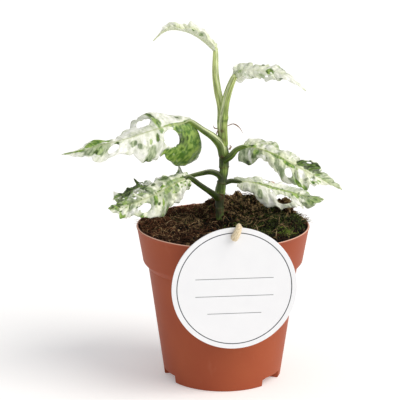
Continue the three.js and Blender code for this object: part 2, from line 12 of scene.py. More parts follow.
import bpy
import numpy as np
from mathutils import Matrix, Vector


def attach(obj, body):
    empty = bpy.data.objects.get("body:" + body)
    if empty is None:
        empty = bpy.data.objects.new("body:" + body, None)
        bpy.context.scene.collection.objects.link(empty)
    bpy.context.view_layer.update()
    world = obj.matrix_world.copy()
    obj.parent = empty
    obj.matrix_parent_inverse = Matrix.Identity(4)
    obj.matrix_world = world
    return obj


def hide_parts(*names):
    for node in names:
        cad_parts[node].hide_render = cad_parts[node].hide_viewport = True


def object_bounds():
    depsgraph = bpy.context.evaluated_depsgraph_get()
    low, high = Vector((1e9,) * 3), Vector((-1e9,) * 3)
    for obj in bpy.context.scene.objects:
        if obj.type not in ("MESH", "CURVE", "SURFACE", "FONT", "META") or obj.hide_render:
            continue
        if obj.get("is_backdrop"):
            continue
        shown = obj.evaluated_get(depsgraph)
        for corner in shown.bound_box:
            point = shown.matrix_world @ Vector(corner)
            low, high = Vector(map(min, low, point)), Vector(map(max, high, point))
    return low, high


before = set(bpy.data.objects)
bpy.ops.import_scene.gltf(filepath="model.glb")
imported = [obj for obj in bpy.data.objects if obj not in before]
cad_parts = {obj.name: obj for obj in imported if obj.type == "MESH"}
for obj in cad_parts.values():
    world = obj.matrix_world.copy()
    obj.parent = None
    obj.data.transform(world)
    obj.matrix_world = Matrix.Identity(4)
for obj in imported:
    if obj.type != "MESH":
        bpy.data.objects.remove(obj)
cad_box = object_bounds()
print("CAD pieces:", len(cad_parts), "from", list(cad_box[0]), "to", list(cad_box[1]))

# %% [markdown]
# ## The viewpoint
#
# The photograph was taken from about a metre away with a long lens, a little above the leaves. A long
# lens keeps the pot's sides nearly parallel. The camera is made first, so that every later step can
# be judged through it. It looks 14.3 degrees down.

# %% Camera
DOWNWARD, SIDEWAYS = 0.2496, 0.0079
lens = bpy.data.cameras.new("camera")
lens.lens, lens.sensor_width = 134.3, 36
camera = bpy.data.objects.new("camera", lens)
camera.location = (-0.008, -1.0, 0.380)
camera.rotation_euler = (math.pi / 2 - DOWNWARD, 0, SIDEWAYS)
scene = bpy.context.scene
scene.collection.objects.link(camera)
scene.camera = camera
print("lens", lens.lens, "mm")

# %% [markdown]
# ## Tools: curves and soft hills
#
# All shapes below are worked out in millimetres as whole arrays and turned to metres when they become
# a mesh. Two tools do most of the work. One is a smooth curve through a few numbers or points, the
# same curve that the CAD source uses. The other is a field of soft random hills, for whatever grew or
# fell at random: clods, marbling and puckers. It is worked out from each point's place alone, so it
# gives the same result each time.

# %% Curves through points
MM = 0.001


def along(values, s):
    """A smooth curve through equally spaced values, from the first at s = 0 to the last at s = 1.
    Between two values it is the cubic whose slope at each is half the step between its neighbours."""
    rows = np.asarray(values, float)
    last = len(rows) - 1
    rows = np.concatenate([[2 * rows[0] - rows[1]], rows, [2 * rows[-1] - rows[-2]]])
    place = np.clip(s, 0, 1) * last
    i = np.minimum(place.astype(int), last - 1)
    f = place - i
    if rows.ndim > 1:
        f = f[..., None]
    before, here, after, later = rows[i], rows[i + 1], rows[i + 2], rows[i + 3]
    cubic = 3 * (here - after) + later - before
    square = 2 * before - 5 * here + 4 * after - later
    return here + 0.5 * f * (after - before + f * (square + f * cubic))


def unit(vectors):
    """Vectors of the same directions with length 1."""
    return vectors / np.linalg.norm(vectors, axis=-1, keepdims=True)


def ramp(x, low, high):
    """0 below low, 1 above high, and a smooth S between."""
    share = np.clip((x - low) / (high - low), 0, 1)
    return share * share * (3 - 2 * share)


def bell(x, middle, reach):
    """A bell shape: 1 at the middle, 0.37 at one reach from it, and nearly 0 from two reaches on."""
    return np.exp(-((x - middle) / reach) ** 2)


def turns(count):
    """Even steps round a full turn, in radians."""
    return 2 * np.pi * np.arange(count) / count


# %% Soft random hills
def soft_hills(points, size, seed=0):
    """Heights from -1 to 1 over points in mm. Each corner of a lattice with that size gets a random
    height, and a point takes the heights of the eight corners round it, mixed with smooth shares."""
    place = np.asarray(points, float) / size + 17.3 * seed
    low = np.floor(place).astype(np.int64)
    share = place - low
    share = share * share * (3 - 2 * share)
    total = np.zeros(place.shape[:-1])
    for corner in itertools.product((0, 1), repeat=3):
        key = (low + corner) @ np.array([374761393, 668265263, 1274126177]) + 2246822519 * seed
        key = (key ^ (key >> 13)) * 1103515245 & 0xFFFFFFFF
        height = ((key ^ (key >> 16)) & 0xFFFF) / 32767.5 - 1
        total += height * np.prod(np.where(corner, share, 1 - share), axis=-1)
    return total


probe = soft_hills(np.linspace((0, 0, 0), (50, 20, 5), 500), 4)
print("soft hills run from", probe.min().round(2), "to", probe.max().round(2))

# %% [markdown]
# ## Tools: from arrays to a piece
#
# A stem, a stalk, a strand of coir and even the pot are all rings of points carried along a line, so
# one function carries circles along a line and another lists the faces between the rings. Each tube
# is closed by a point at both ends. make_piece puts the arrays into a mesh at the origin, gives it
# its finish, lets it ride on the object's one body, and hides the CAD nodes that it stands for.

# %% Rings along a line
def carried_rings(centres, radii, toward, sides):
    """Rings square to a line of centres[..., station, :]. Each ring's first point is on the side that
    faces toward, and the others follow in even steps. radii has one number a station, or one a point."""
    line, toward = unit(np.gradient(centres, axis=-2)), np.array(toward, float)
    first = unit(toward - (toward * line).sum(-1, keepdims=True) * line)
    second = np.cross(line, first)
    angle = turns(sides)[:, None]
    if radii.ndim < centres.ndim:
        radii = radii[..., None]
    around = np.cos(angle) * first[..., None, :] + np.sin(angle) * second[..., None, :]
    return centres[..., None, :] + radii[..., None] * around


def ringed_faces(stations, sides, count=1):
    """Faces of count tubes, each with stations x sides points and then its two end points."""
    i, j = np.meshgrid(np.arange(stations - 1) * sides, np.arange(sides), indexing="ij")
    k = (j + 1) % sides
    quads = np.stack([i + j, i + k, i + sides + k, i + sides + j], -1).reshape(-1, 4)
    j, k = j[0], k[0]
    end, pole = (stations - 1) * sides, 0 * j + stations * sides
    fans = np.concatenate([np.stack([pole, k, j], -1), np.stack([pole + 1, end + j, end + k], -1)])
    skip = (stations * sides + 2) * np.arange(count)[:, None, None]
    return [(quads + skip).reshape(-1, 4), (fans + skip).reshape(-1, 3)]


def ringed_points(rings):
    """The points of rings[..., station, side, :] in the order that ringed_faces counts them."""
    ends = rings[..., [0, -1], :, :].mean(axis=-2)
    flat = rings.reshape(*rings.shape[:-3], -1, rings.shape[-1])
    return np.concatenate([flat, ends], axis=-2).reshape(-1, rings.shape[-1])


# %% Arrays to a piece
LAYER_KINDS = {1: ("FLOAT", "value"), 3: ("FLOAT_VECTOR", "vector"), 4: ("FLOAT_COLOR", "color")}


def make_piece(name, points, faces, slot, finish, nodes=(), smooth=True, shares=None):
    """A mesh of points in mm and lists of faces with three or four corners. shares holds values per
    point, by name, that the finish reads: one number each, or three or four for a place or tones."""
    mesh = bpy.data.meshes.new(name)
    corners = np.concatenate([part.ravel() for part in faces]).astype(np.int32)
    sizes = np.concatenate([np.full(len(part), part.shape[1]) for part in faces])
    mesh.vertices.add(len(points))
    mesh.vertices.foreach_set("co", (points * MM).astype(np.float32).ravel())
    mesh.loops.add(len(corners))
    mesh.loops.foreach_set("vertex_index", corners)
    mesh.polygons.add(len(sizes))
    mesh.polygons.foreach_set("loop_start", (np.cumsum(sizes) - sizes).astype(np.int32))
    mesh.update(calc_edges=True)
    mesh.polygons.foreach_set("use_smooth", np.full(len(sizes), smooth))
    for key, values in (shares or {}).items():
        kind, field = LAYER_KINDS[values.size // len(points)]
        layer = mesh.attributes.new(key, kind, "POINT")
        layer.data.foreach_set(field, values.astype(np.float32).ravel())
    mesh.materials.append(finish)
    piece = bpy.data.objects.new(name, mesh)
    scene.collection.objects.link(piece)
    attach(piece, "root")
    if nodes:
        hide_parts(*nodes)
    print(f"{name}: {(sizes - 2).sum()} triangles, mended: {mesh.validate()}")
    return piece


def make_tubes(name, rings, slot, finish, nodes=(), shares=None):
    """Tubes from rings[..., station, side, :] as one piece. A share is one value for each tube, or a
    grid of values or places with one for each point of the rings."""
    stations, sides = rings.shape[-3:-1]
    count = rings[..., 0, 0, 0].size

    def per_point(values):
        """A share's values in the order of the tubes' points."""
        values = np.asarray(values, float)
        if values.ndim == 1:
            return np.repeat(values, stations * sides + 2)
        values = values if values.ndim == rings.ndim else values[..., None]
        return ringed_points(np.broadcast_to(values, rings.shape[:-1] + values.shape[-1:]))

    shares = {key: per_point(values) for key, values in (shares or {}).items()}
    return make_piece(name, ringed_points(rings), ringed_faces(stations, sides, count), slot, finish,
                      nodes, shares=shares)


# %% [markdown]
# ## Tools: finishes
#
# A finish is a small network of shader nodes. Colours are written as they look on a screen, in hex,
# and one function turns them to the linear values that a shader works with. Another adds one node
# with its settings and its links, whatever its kind. The rest are recipes: grain of a real size, and
# coats of colour laid over each other like thin paint.

# %% Colours and shader nodes
def paint(hex_text):
    """A screen colour such as "A04E38" as linear red, green, blue and a full last value."""
    screen = np.array([int(hex_text[i:i + 2], 16) for i in (0, 2, 4)]) / 255
    linear = np.where(screen <= 0.04045, screen / 12.92, ((screen + 0.055) / 1.055) ** 2.4)
    return (*linear.tolist(), 1.0)


def add_node(tree, kind, settings):
    """Adds one shader node and gives its outputs. A number or a name with a capital stands for a
    socket, which is linked to another node's output or set. Any other name is a property's."""
    node = tree.nodes.new("ShaderNode" + kind)
    for key, value in settings.items():
        if isinstance(value, bpy.types.NodeSocket):
            tree.links.new(value, node.inputs[key])
        elif isinstance(key, int) or key[0].isupper():
            node.inputs[key].default_value = value
        else:
            setattr(node, key, value)
    return node.outputs


def new_finish(name, settings, numbers=()):
    """A material with one Principled surface, the values of that surface's sockets, and the outputs
    that carry the numbers which the mesh holds under those names."""
    finish = bpy.data.materials.new(name)
    finish.use_nodes = True
    tree = finish.node_tree
    surface = tree.nodes["Principled BSDF"]
    for key, value in settings.items():
        surface.inputs[key].default_value = value
    held = [add_node(tree, "Attribute", {"attribute_name": number})["Fac"] for number in numbers]
    return finish, tree, surface, *held


def grain(tree, size_mm, detail=3.0, stretch=(1, 1, 1), place=None):
    """Cloudy noise with grains of that size, over the object's own place or over another one."""
    if place is None:
        place = add_node(tree, "TexCoord", {})["Object"]
    scaled = add_node(tree, "Mapping", {"Scale": stretch, "Vector": place})[0]
    settings = {"Scale": 1 / (size_mm * MM), "Detail": detail, "Vector": scaled}
    return add_node(tree, "TexNoise", settings)[0]


def coats(tree, colour, *layers):
    """Lays coats over a first colour, each as strongly as its share, from 0 to 1. A colour is hex
    text or a node's output, and so is a coat. A share is a number or a node's output."""
    for share, coat in layers:
        under, over = (paint(c) if isinstance(c, str) else c for c in (colour, coat))
        colour = add_node(tree, "Mix", {"data_type": "RGBA", 0: share, 6: under, 7: over})[2]
    return colour


def cover(tree, surface, colour, height=None, depth_mm=0.0, strength=1.0):
    """Gives a surface its colour, and fine relief of that depth, which is too small for the mesh."""
    tree.links.new(colour, surface.inputs["Base Color"])
    if height is not None:
        bump = {"Strength": strength, "Distance": depth_mm * MM, "Height": height}
        tree.links.new(add_node(tree, "Bump", bump)[0], surface.inputs["Normal"])


print("terracotta in linear light:", [round(c, 3) for c in paint("A9563E")])

# %% [markdown]
# ## The pot's finish
#
# A nursery pot is vacuum-formed or injection-moulded polypropylene. Its terracotta colour goes right
# through, so it never chips to another colour. The mould leaves a fine matt grain of about 0.5 mm.
# Handling polishes it a little and leaves faint pale scuffs, and a pale line along the rim's top edge
# is a painted highlight. Roughness runs from 0.42 to 0.58 round the 0.5 of matt polypropylene.

# %% Moulded polypropylene
# The coat 3A2015 darkens the inside wall of the pot, from 8 mm up to just under the rim.
pot_finish, tree, surface, edge, darkened_inside = new_finish(
    "moulded_polypropylene", {"IOR": 1.49, "Specular IOR Level": 0.12}, ("edge", "darkened_inside"))
clouding = grain(tree, 38, 2)
scuffs = grain(tree, 5, 5, (1, 1, 0.35))
scuffs = add_node(tree, "MapRange", {"Value": scuffs, "From Min": 0.62, "From Max": 0.78,
                                     "To Max": 0.05})[0]
# The pale coat E6BBA6 is a painted highlight along the rim's top edge.
colour = coats(tree, "93432D", (clouding, "A75939"), (scuffs, "D99B80"), (edge, "E6BBA6"),
               (darkened_inside, "3A2015"))
rough = add_node(tree, "MapRange", {"Value": clouding, "To Min": 0.42, "To Max": 0.58})[0]
tree.links.new(rough, surface.inputs["Roughness"])
cover(tree, surface, colour, grain(tree, 0.5, 1), 0.05, 0.5)
print("finish:", pot_finish.name)

# %% [markdown]
# ## The pot
#
# The real pot is one thin shell: a tapered body, a wider collar that lets pots stack, and arched
# recesses round the foot that let water drain. It could be turned with Spin and cut with booleans.
# Here it is one surface of revolution instead. Its profile runs from the middle of the base, up the
# outside, over the rim and down the inside. Where a recess lies, the lowest points follow a second
# profile that is pushed in and up. The slots are cells left out of both walls, with their edges joined.

# %% The outside's profile
POT_HEIGHT, RIM_RADIUS, RIM_BEAD, WALL, FLOOR = 108, 60, 0.45, 1.2, 1.4
COLLAR_RADIUS, COLLAR_Z = 55.5, 83.0
BODY_RADIUS, BODY_Z = 52.0, 79.2
BASE_RADIUS = 41.2
RECESS_INNER, RECESS_HEIGHT, RECESS_HALF = 34, 5.5, 14
RECESS_BEARINGS = [-67, 56, 174]
SLOT_BOTTOM, SLOT_TOP, SLOT_NEAR, SLOT_FAR = 2.0, 4.6, 5.1, 13.4


def profile(radius, z):
    """Points of radius and height, where either may be one number for all."""
    return np.stack(np.broadcast_arrays(radius, z), -1).astype(float)


def wall_radius(z):
    """Radius of the tapered body at height z."""
    return np.interp(z, [1, BODY_Z], [BASE_RADIUS, BODY_RADIUS])


def rounded(points, steps=4):
    """Softens a chain of corners: each run between corners becomes steps of a smooth curve."""
    return along(points, np.linspace(0, 1, steps * (len(points) - 1) + 1))


climb = np.linspace(1.1, RECESS_HEIGHT, 6)
foot_plain = np.concatenate([profile(np.linspace(RECESS_INNER, BASE_RADIUS - 0.5, 7), 0),
                             [[BASE_RADIUS - 0.1, 0.4]], profile(wall_radius(climb), climb)])
foot_pushed = np.concatenate([
    profile(RECESS_INNER, np.array([0, 1, SLOT_BOTTOM, 3.3, SLOT_TOP, 5.1, RECESS_HEIGHT])),
    [[RECESS_INNER + 0.2, RECESS_HEIGHT]],
    profile(np.linspace(RECESS_INNER + 0.5, wall_radius(RECESS_HEIGHT), 6), RECESS_HEIGHT)])
body_z = np.linspace(RECESS_HEIGHT + 0.6, BODY_Z - 1, 22)
body = profile(wall_radius(body_z), body_z)
collar = rounded([(BODY_RADIUS - 0.1, BODY_Z - 0.4), (BODY_RADIUS + 1, BODY_Z + 0.8),
                  (COLLAR_RADIUS - 1, COLLAR_Z - 1.2), (COLLAR_RADIUS, COLLAR_Z + 0.2),
                  (COLLAR_RADIUS + 0.35, COLLAR_Z + 2)])
RIM_FOOT = (RIM_RADIUS - RIM_BEAD, POT_HEIGHT - 4 * RIM_BEAD)
slope = (RIM_FOOT[0] - COLLAR_RADIUS) / (RIM_FOOT[1] - COLLAR_Z)
skirt_z = np.linspace(COLLAR_Z + 3.5, RIM_FOOT[1] - 0.4, 9)
skirt = profile(COLLAR_RADIUS + slope * (skirt_z - COLLAR_Z), skirt_z)
rim = rounded([RIM_FOOT, (RIM_RADIUS, POT_HEIGHT - 2.4 * RIM_BEAD), (RIM_RADIUS, POT_HEIGHT - 0.6),
               (RIM_RADIUS - 0.5, POT_HEIGHT - 0.05), (RIM_RADIUS - 1.1, POT_HEIGHT - 0.2)])


# %% The inside's profile
def inner_radius(z, inset=0.0):
    """Radius of the hollow at height z, less the inset, from the floor to the rim."""
    top = COLLAR_RADIUS + slope * (POT_HEIGHT - COLLAR_Z)
    return np.interp(z, [FLOOR, BODY_Z + 0.6, COLLAR_Z + 0.6, POT_HEIGHT],
                     [BASE_RADIUS, BODY_RADIUS, COLLAR_RADIUS, top]) - WALL - inset


inside_z = np.concatenate([np.linspace(POT_HEIGHT - 0.8, COLLAR_Z + 1, 8),
                           np.linspace(BODY_Z, RECESS_HEIGHT + 3, 10)])
inside = profile(inner_radius(inside_z), inside_z)
down = np.array([6.7, 5.2, SLOT_TOP, 3.3, SLOT_BOTTOM, FLOOR])
foot_inside_plain = profile(inner_radius(down), down)
foot_inside_plain[-1, 0] -= 1
foot_inside_pushed = profile(RECESS_INNER - WALL, down)
base = profile(np.array([8, 20, 32, 33.8]), 0)
bottom = profile(np.array([30, 18, 6]), FLOOR)
upper = np.concatenate([body, collar, skirt, rim, inside])
print("profile rows above the foot:", len(upper))


# %% Turn the profile
def from_recess(bearing):
    """How far bearings are from the middle of the nearest recess, in degrees."""
    return np.abs(np.mod(bearing[:, None] - RECESS_BEARINGS + 180, 360) - 180).min(axis=1)


edges = [RECESS_HALF + step for step in (-0.5, -0.15, 0.15, 0.5)] + [SLOT_NEAR, SLOT_FAR]
edges = [bearing + side * edge for bearing in RECESS_BEARINGS for side in (-1, 1) for edge in edges]
bearings = np.unique(np.round(np.mod(np.concatenate([np.arange(0, 360, 2), edges]), 360), 3))
theta = np.radians(bearings - 90)
pushed = 1 - ramp(from_recess(bearings), RECESS_HALF - 0.3, RECESS_HALF + 0.3)


def turned(plain, other=None):
    """Rings of a profile of radius and height, with the other profile where a recess lies."""
    plain = plain[:, None, :]
    other = plain if other is None else other[:, None, :]
    mixed = plain + (other - plain) * pushed[None, :, None]
    radius, z = mixed[..., 0], mixed[..., 1]
    return np.stack([radius * np.cos(theta), radius * np.sin(theta), z], -1)


pot_rings = np.concatenate([turned(base), turned(foot_plain, foot_pushed), turned(upper),
                            turned(foot_inside_plain, foot_inside_pushed), turned(bottom)])
pot_points = ringed_points(pot_rings)
print("rings:", len(pot_rings), "with", len(theta), "points each")

# %% Cut the slots
sides = len(theta)
quads, fans = ringed_faces(len(pot_rings), sides)
outer_low = len(base) + 2
outer_high = outer_low + 2
inner_high = len(base) + len(foot_plain) + len(upper) + 2
inner_low = inner_high + 2
middle = bearings + np.append(np.diff(bearings), 360 - bearings[-1] + bearings[0]) / 2
in_slot = (from_recess(middle) > SLOT_NEAR) & (from_recess(middle) < SLOT_FAR)
row, column = np.divmod(np.arange(len(quads)), sides)
rows_cut = ((row >= outer_low) & (row < outer_high)) | ((row >= inner_high) & (row < inner_low))
kept = quads[~(rows_cut & in_slot[column])]


def strip(*corners):
    """Faces from the rows and columns of their corners."""
    return np.stack([row * sides + column for row, column in corners], -1).reshape(-1, 4)


j = np.flatnonzero(in_slot)
k = (j + 1) % sides
first, last = j[~in_slot[j - 1]], (j[~in_slot[k]] + 1) % sides
step = np.arange(2)[:, None]
out, back = outer_low + step, inner_low - step
walls = [strip((outer_low, j), (outer_low, k), (inner_low, k), (inner_low, j)),
         strip((outer_high, j), (inner_high, j), (inner_high, k), (outer_high, k)),
         strip((out, first), (back, first), (back - 1, first), (out + 1, first)),
         strip((out, last), (out + 1, last), (back - 1, last), (back, last))]
print("cells open for slots:", len(quads) - len(kept))

# %% The pot as a piece
DARKENED_FROM, DARKENED_TO = 8, 107.6
radius, height = np.hypot(pot_points[:, 0], pot_points[:, 1]), pot_points[:, 2]
# Painted highlight: a pale line round the outer part of the rim's top.
rim_highlight_share = (0.9 * ramp(height, POT_HEIGHT - 0.7, POT_HEIGHT - 0.1)
              * ramp(radius, RIM_RADIUS - 1.3, RIM_RADIUS - 0.7))
is_inside = radius < np.interp(height, [0, BODY_Z, COLLAR_Z, POT_HEIGHT], [40.6, 51.4, 54.8, 59.0])
# The inside wall is darkened from 8 mm up to just under the rim, in soft patches.
is_darkened_inside = is_inside & (height > DARKENED_FROM) & (height < DARKENED_TO)
darkened_inside_share = is_darkened_inside * (0.55 + 0.2 * soft_hills(pot_points, 9, 3))
pot = make_piece("pot_shell", pot_points, [np.concatenate([kept, *walls]), fans], "pot_plastic", pot_finish,
                 ["pot"], shares={"edge": rim_highlight_share, "darkened_inside": darkened_inside_share})
pot.data.set_sharp_from_angle(angle=math.radians(38))

# %% [markdown]
# ## The soil's finish
#
# Potting soil here is black peat with coir, which is reddish-brown fibre from coconut husks. Both are
# fully matt, so roughness is 1 and almost nothing shines. Every crumb and fibre carries two numbers:
# tint runs from black peat to reddish coir, and light makes single bits paler, as dry ones are. On the
# mound and at a few listed spots, crumbs are paler still, partly as dry crumbs and partly as painted
# light against the leaves' shade. On a heap at the right they get more tint and paleness as painted
# light. One finish reads both, so the whole bed belongs together.

# %% Peat and coir
soil_finish, tree, surface, tint, light = new_finish(
    "peat_and_coir", {"Roughness": 1.0, "Specular IOR Level": 0.15}, ("tint", "light"))
speckle = grain(tree, 1.1, 4)
colour = coats(tree, "100F0A", (tint, "86583E"), (light, "CFAE80"))
lit = add_node(tree, "MapRange", {"Value": speckle, "From Min": 0.3, "From Max": 0.75})[0]
shaded = coats(tree, colour, (0.65, "000000"))
cover(tree, surface, coats(tree, shaded, (lit, colour)), speckle, 0.6, 0.9)
print("finish:", soil_finish.name)

# %% [markdown]
# ## The bed of soil
#
# The bed fills the pot to just below the rim, with a mound behind the stem. It could be a sculpted
# disc. A height over each point of a polar grid is simpler to steer: the CAD source's own mounds and
# waves give the large form, and three sizes of soft hills add clods, lumps and crumbs to it. Colour
# follows place too: coir lies in dry clumps with damp black peat between, reddest at the back left.

# %% Height and colour of the soil
SOIL_LEVEL, SOIL_EDGE_Z, SOIL_EDGE_BAND = 106.2, 106.4, 8
# Mounds: x, y, rise, and reach in x and y
SOIL_MOUNDS = [(5, 29, 14, 20, 13), (30, 33, 9, 14, 11), (-1, 2, 4, 9, 9), (-43, -4, 4, 9, 14),
               (38, 8, 3.5, 13, 16)]
SOIL_EDGE = inner_radius(SOIL_EDGE_Z, 0.3)


def bed_hills(x, y, size, seed):
    """Soft hills over places on the level."""
    return soft_hills(np.stack([x, y, 0 * x], -1), size, seed)


def soil_top(x, y):
    """Height of the bed: the level, a bell-shaped mound at each place, long waves, and clods of 7, 3
    and 1.4 mm. Near the wall all of it settles to the height of the soil's edge."""
    z = np.full(np.shape(x), float(SOIL_LEVEL))
    for mound_x, mound_y, rise, reach_x, reach_y in SOIL_MOUNDS:
        z += rise * bell(x, mound_x, reach_x) * bell(y, mound_y, reach_y)
    z += 1.1 * np.sin(0.33 * x + 1.3) * np.sin(0.29 * y + 0.4)
    z += 0.7 * np.sin(0.61 * x - 0.42 * y + 2.1) + 0.5 * np.sin(0.87 * x + 0.95 * y)
    z += 1.1 * bed_hills(x, y, 7, 1) + 0.9 * bed_hills(x, y, 3, 2) + 0.5 * bed_hills(x, y, 1.4, 3)
    share = np.clip((SOIL_EDGE - np.hypot(x, y)) / SOIL_EDGE_BAND, 0, 1)
    return SOIL_EDGE_Z + (z - SOIL_EDGE_Z) * share


def redness(x, y):
    """How much coir shows: more to the left and on the ridge at the back left, and little round the
    stem's foot, where the soil is damp."""
    damp = bell(x, 2, 17) * bell(y, -1, 15)
    ridge = bell(x, -28, 20) * bell(y, 40, 9)
    patch = bed_hills(x, y, 9, 4)
    return np.clip(0.3 - 0.01 * x + 0.003 * y + 0.35 * patch + 0.5 * ridge - 0.75 * damp, 0.02, 0.95)


def clumps(x, y):
    """1 where dry, reddish bits lie in clumps, and 0 in the damp black hollows between them."""
    return ramp(bed_hills(x, y, 6, 5) + 0.6 * bed_hills(x, y, 2.6, 9), -0.15, 0.5)


def mossiness(x, y):
    """How much moss grows: most on the right, some behind the stem at the left, in soft patches."""
    right, behind = bell(x, 31, 27) * bell(y, 1, 32), bell(x, -24, 17) * bell(y, 14, 14)
    return np.clip(1.3 * right + 0.8 * behind + 0.4 * bed_hills(x, y, 10, 6) - 0.15, 0, 1)


# %% The bed as a piece
SOIL_SIDES, SOIL_RINGS = 260, 112
plug_z = np.array([FLOOR + 0.3, FLOOR + 0.3, 7.1, 7.3, 40, 78, 82, 100, SOIL_EDGE_Z - 0.3])
plug_radius = np.where(plug_z < 7.2, RECESS_INNER - WALL - 0.3, inner_radius(plug_z, 0.3))
plug_radius[0] = 15
top_radius = SOIL_EDGE * (1 - np.linspace(0, 0.995, SOIL_RINGS))
ring_radius = np.concatenate([plug_radius, top_radius])[:, None]
x, y = ring_radius * np.cos(turns(SOIL_SIDES)), ring_radius * np.sin(turns(SOIL_SIDES))
z = np.concatenate([np.repeat(plug_z[:, None], SOIL_SIDES, 1), soil_top(x, y)[len(plug_z):]])
make_tubes("soil_bed", np.stack([x, y, z], -1), "soil", soil_finish, ["soil"],
           shares={"tint": 0.3 * redness(x, y) * clumps(x, y), "light": 0 * x})
print("the soil's highest point is at", round(float(z.max()), 1), "mm")

# %% [markdown]
# ## Crumbs, coir and straw
#
# On real soil the eye reads thousands of loose bits. They could be particles, but those aren't part
# of a mesh. Here each kind is one mesh of many simple copies, all placed at once. A crumb is a
# dented 20-sided lump. A coir fibre is a bent three-sided thread that lies along the height of the
# bed. Real fibres are 0.1 to 0.3 mm thick, and these are 0.2 to 0.5 mm, because thinner ones would
# vanish at this picture's size.

# %% Scattered places
rng = np.random.default_rng(11)


def round_pot(bearing, out):
    """The x and y of places at a bearing and a distance from the pot's middle."""
    return out * np.cos(bearing), out * np.sin(bearing)


def scattered(count, reach, chance):
    """Random places within a radius, kept where chance(x, y) is above a random number, until count."""
    out = reach * np.sqrt(rng.random(8 * count))
    x, y = round_pot(2 * np.pi * rng.random(8 * count), out)
    keep = np.flatnonzero(chance(x, y) > rng.random(8 * count))[:count]
    return x[keep], y[keep]


# %% Lumps
GOLDEN = (1 + math.sqrt(5)) / 2
LUMP = np.array([(0, a, b * GOLDEN) for a in (-1, 1) for b in (-1, 1)])
LUMP = unit(np.concatenate([LUMP, LUMP[:, [1, 2, 0]], LUMP[:, [2, 0, 1]]]))


def lump_faces():
    """The 20 faces of a 12-cornered lump: all triples of corners at the shortest distance apart, each
    turned to face outward."""
    gap = np.linalg.norm(LUMP[:, None] - LUMP, axis=-1)
    triples = [t for t in itertools.combinations(range(12), 3)
               if all(gap[a, b] < 1.1 for a, b in itertools.combinations(t, 2))]
    return np.array([t if np.linalg.det(LUMP[list(t)]) > 0 else t[::-1] for t in triples])


def lumps(centres, sizes):
    """Points and faces of dented lumps of those sizes round those centres."""
    count = len(centres)
    stretch = rng.uniform(0.6, 1.25, (count, 1, 3))
    dents = rng.uniform(0.7, 1.2, (count, 12, 1))
    points = centres[:, None] + sizes[:, None, None] * stretch * dents * LUMP
    faces = lump_faces() + 12 * np.arange(count)[:, None, None]
    return points.reshape(-1, 3), [faces.reshape(-1, 3)]


# %% Crumbs
CRUMBS, HEAP_CRUMBS, LEFT_CRUMBS = 6000, 520, 300
HEAP_X, HEAP_Y, HEAP_RISE = 46, 27, 11.5
# Places of dry golden crumbs, made paler still as painted light against the leaves' shade
DRY_AND_LIT_SPOTS = [(6, 21), (9, 29), (15, 20), (22, 16), (29, 25), (37, 34), (HEAP_X, HEAP_Y)]


def crumb_chance(x, y):
    """More crumbs on the mound behind the stem, and fewer under the moss."""
    return np.clip(0.35 + 0.6 * bell(x, 8, 20) * bell(y, 30, 15) - 0.25 * mossiness(x, y), 0, 1)


x, y = scattered(CRUMBS, SOIL_EDGE - 0.5, crumb_chance)
size = 0.35 + 1.15 * rng.random(len(x)) ** 2.2
scatter = np.stack([x, y, soil_top(x, y) + 0.3 * size], -1)
x, y = rng.normal(HEAP_X, 4.2, HEAP_CRUMBS), rng.normal(HEAP_Y, 4, HEAP_CRUMBS)
rise = HEAP_RISE * bell(x, HEAP_X, 6.5) * bell(y, HEAP_Y, 6)
heap = np.stack([x, y, soil_top(x, y) + rise * rng.random(HEAP_CRUMBS)], -1)
bearing, out = rng.uniform(2.55, 3.3, LEFT_CRUMBS), rng.uniform(49, 57, LEFT_CRUMBS)
x, y = round_pot(bearing, out)
at_left = np.stack([x, y, soil_top(x, y) + 3.2 * ramp(out, 48, 55) * rng.random(LEFT_CRUMBS)], -1)
extra = np.concatenate([heap, at_left])
extra = extra[np.hypot(extra[:, 0], extra[:, 1]) < SOIL_EDGE - 1]
centres = np.concatenate([scatter, extra])
size = np.concatenate([size, rng.uniform(0.7, 1.6, len(extra))])
points, faces = lumps(centres, size)
x, y = centres[:, 0], centres[:, 1]
# Painted light: on the mound and at the listed spots, crumbs are paler and redder, partly as dry crumbs and
# partly against the leaves' shade. On the heap they get more tint and paleness.
clump, mound = clumps(x, y), bell(x, 18, 20) * bell(y, 27, 13)
tint = (0.7 * redness(x, y) + 0.3 * mound + rng.uniform(-0.5, 0.6, len(x))) * (0.25 + 0.9 * clump)
tint = np.clip(tint, 0, 1) * (1 - 0.75 * mossiness(x, y)) + 0.8 * bell(x, HEAP_X, 6) * bell(y, HEAP_Y, 6)
dry_and_lit = sum(bell(x, spot_x, 6) * bell(y, spot_y, 8) for spot_x, spot_y in DRY_AND_LIT_SPOTS)
ridge = bell(x, -28, 20) * bell(y, 42, 8)
is_light = rng.random(len(x)) < 0.05 + 0.75 * mound * clump + 0.9 * dry_and_lit + 0.35 * ridge
light = is_light * rng.uniform(0.35, 1, len(x)) * (1 + 0.3 * dry_and_lit + 0.25 * mound)
make_piece("soil_crumbs", points, faces, "soil", soil_finish, smooth=False,
           shares={"tint": np.repeat(np.clip(tint, 0, 1), 12), "light": np.repeat(light, 12)})


# %% Coir fibres
FIBRES, FIBRE_STATIONS = 3600, 6


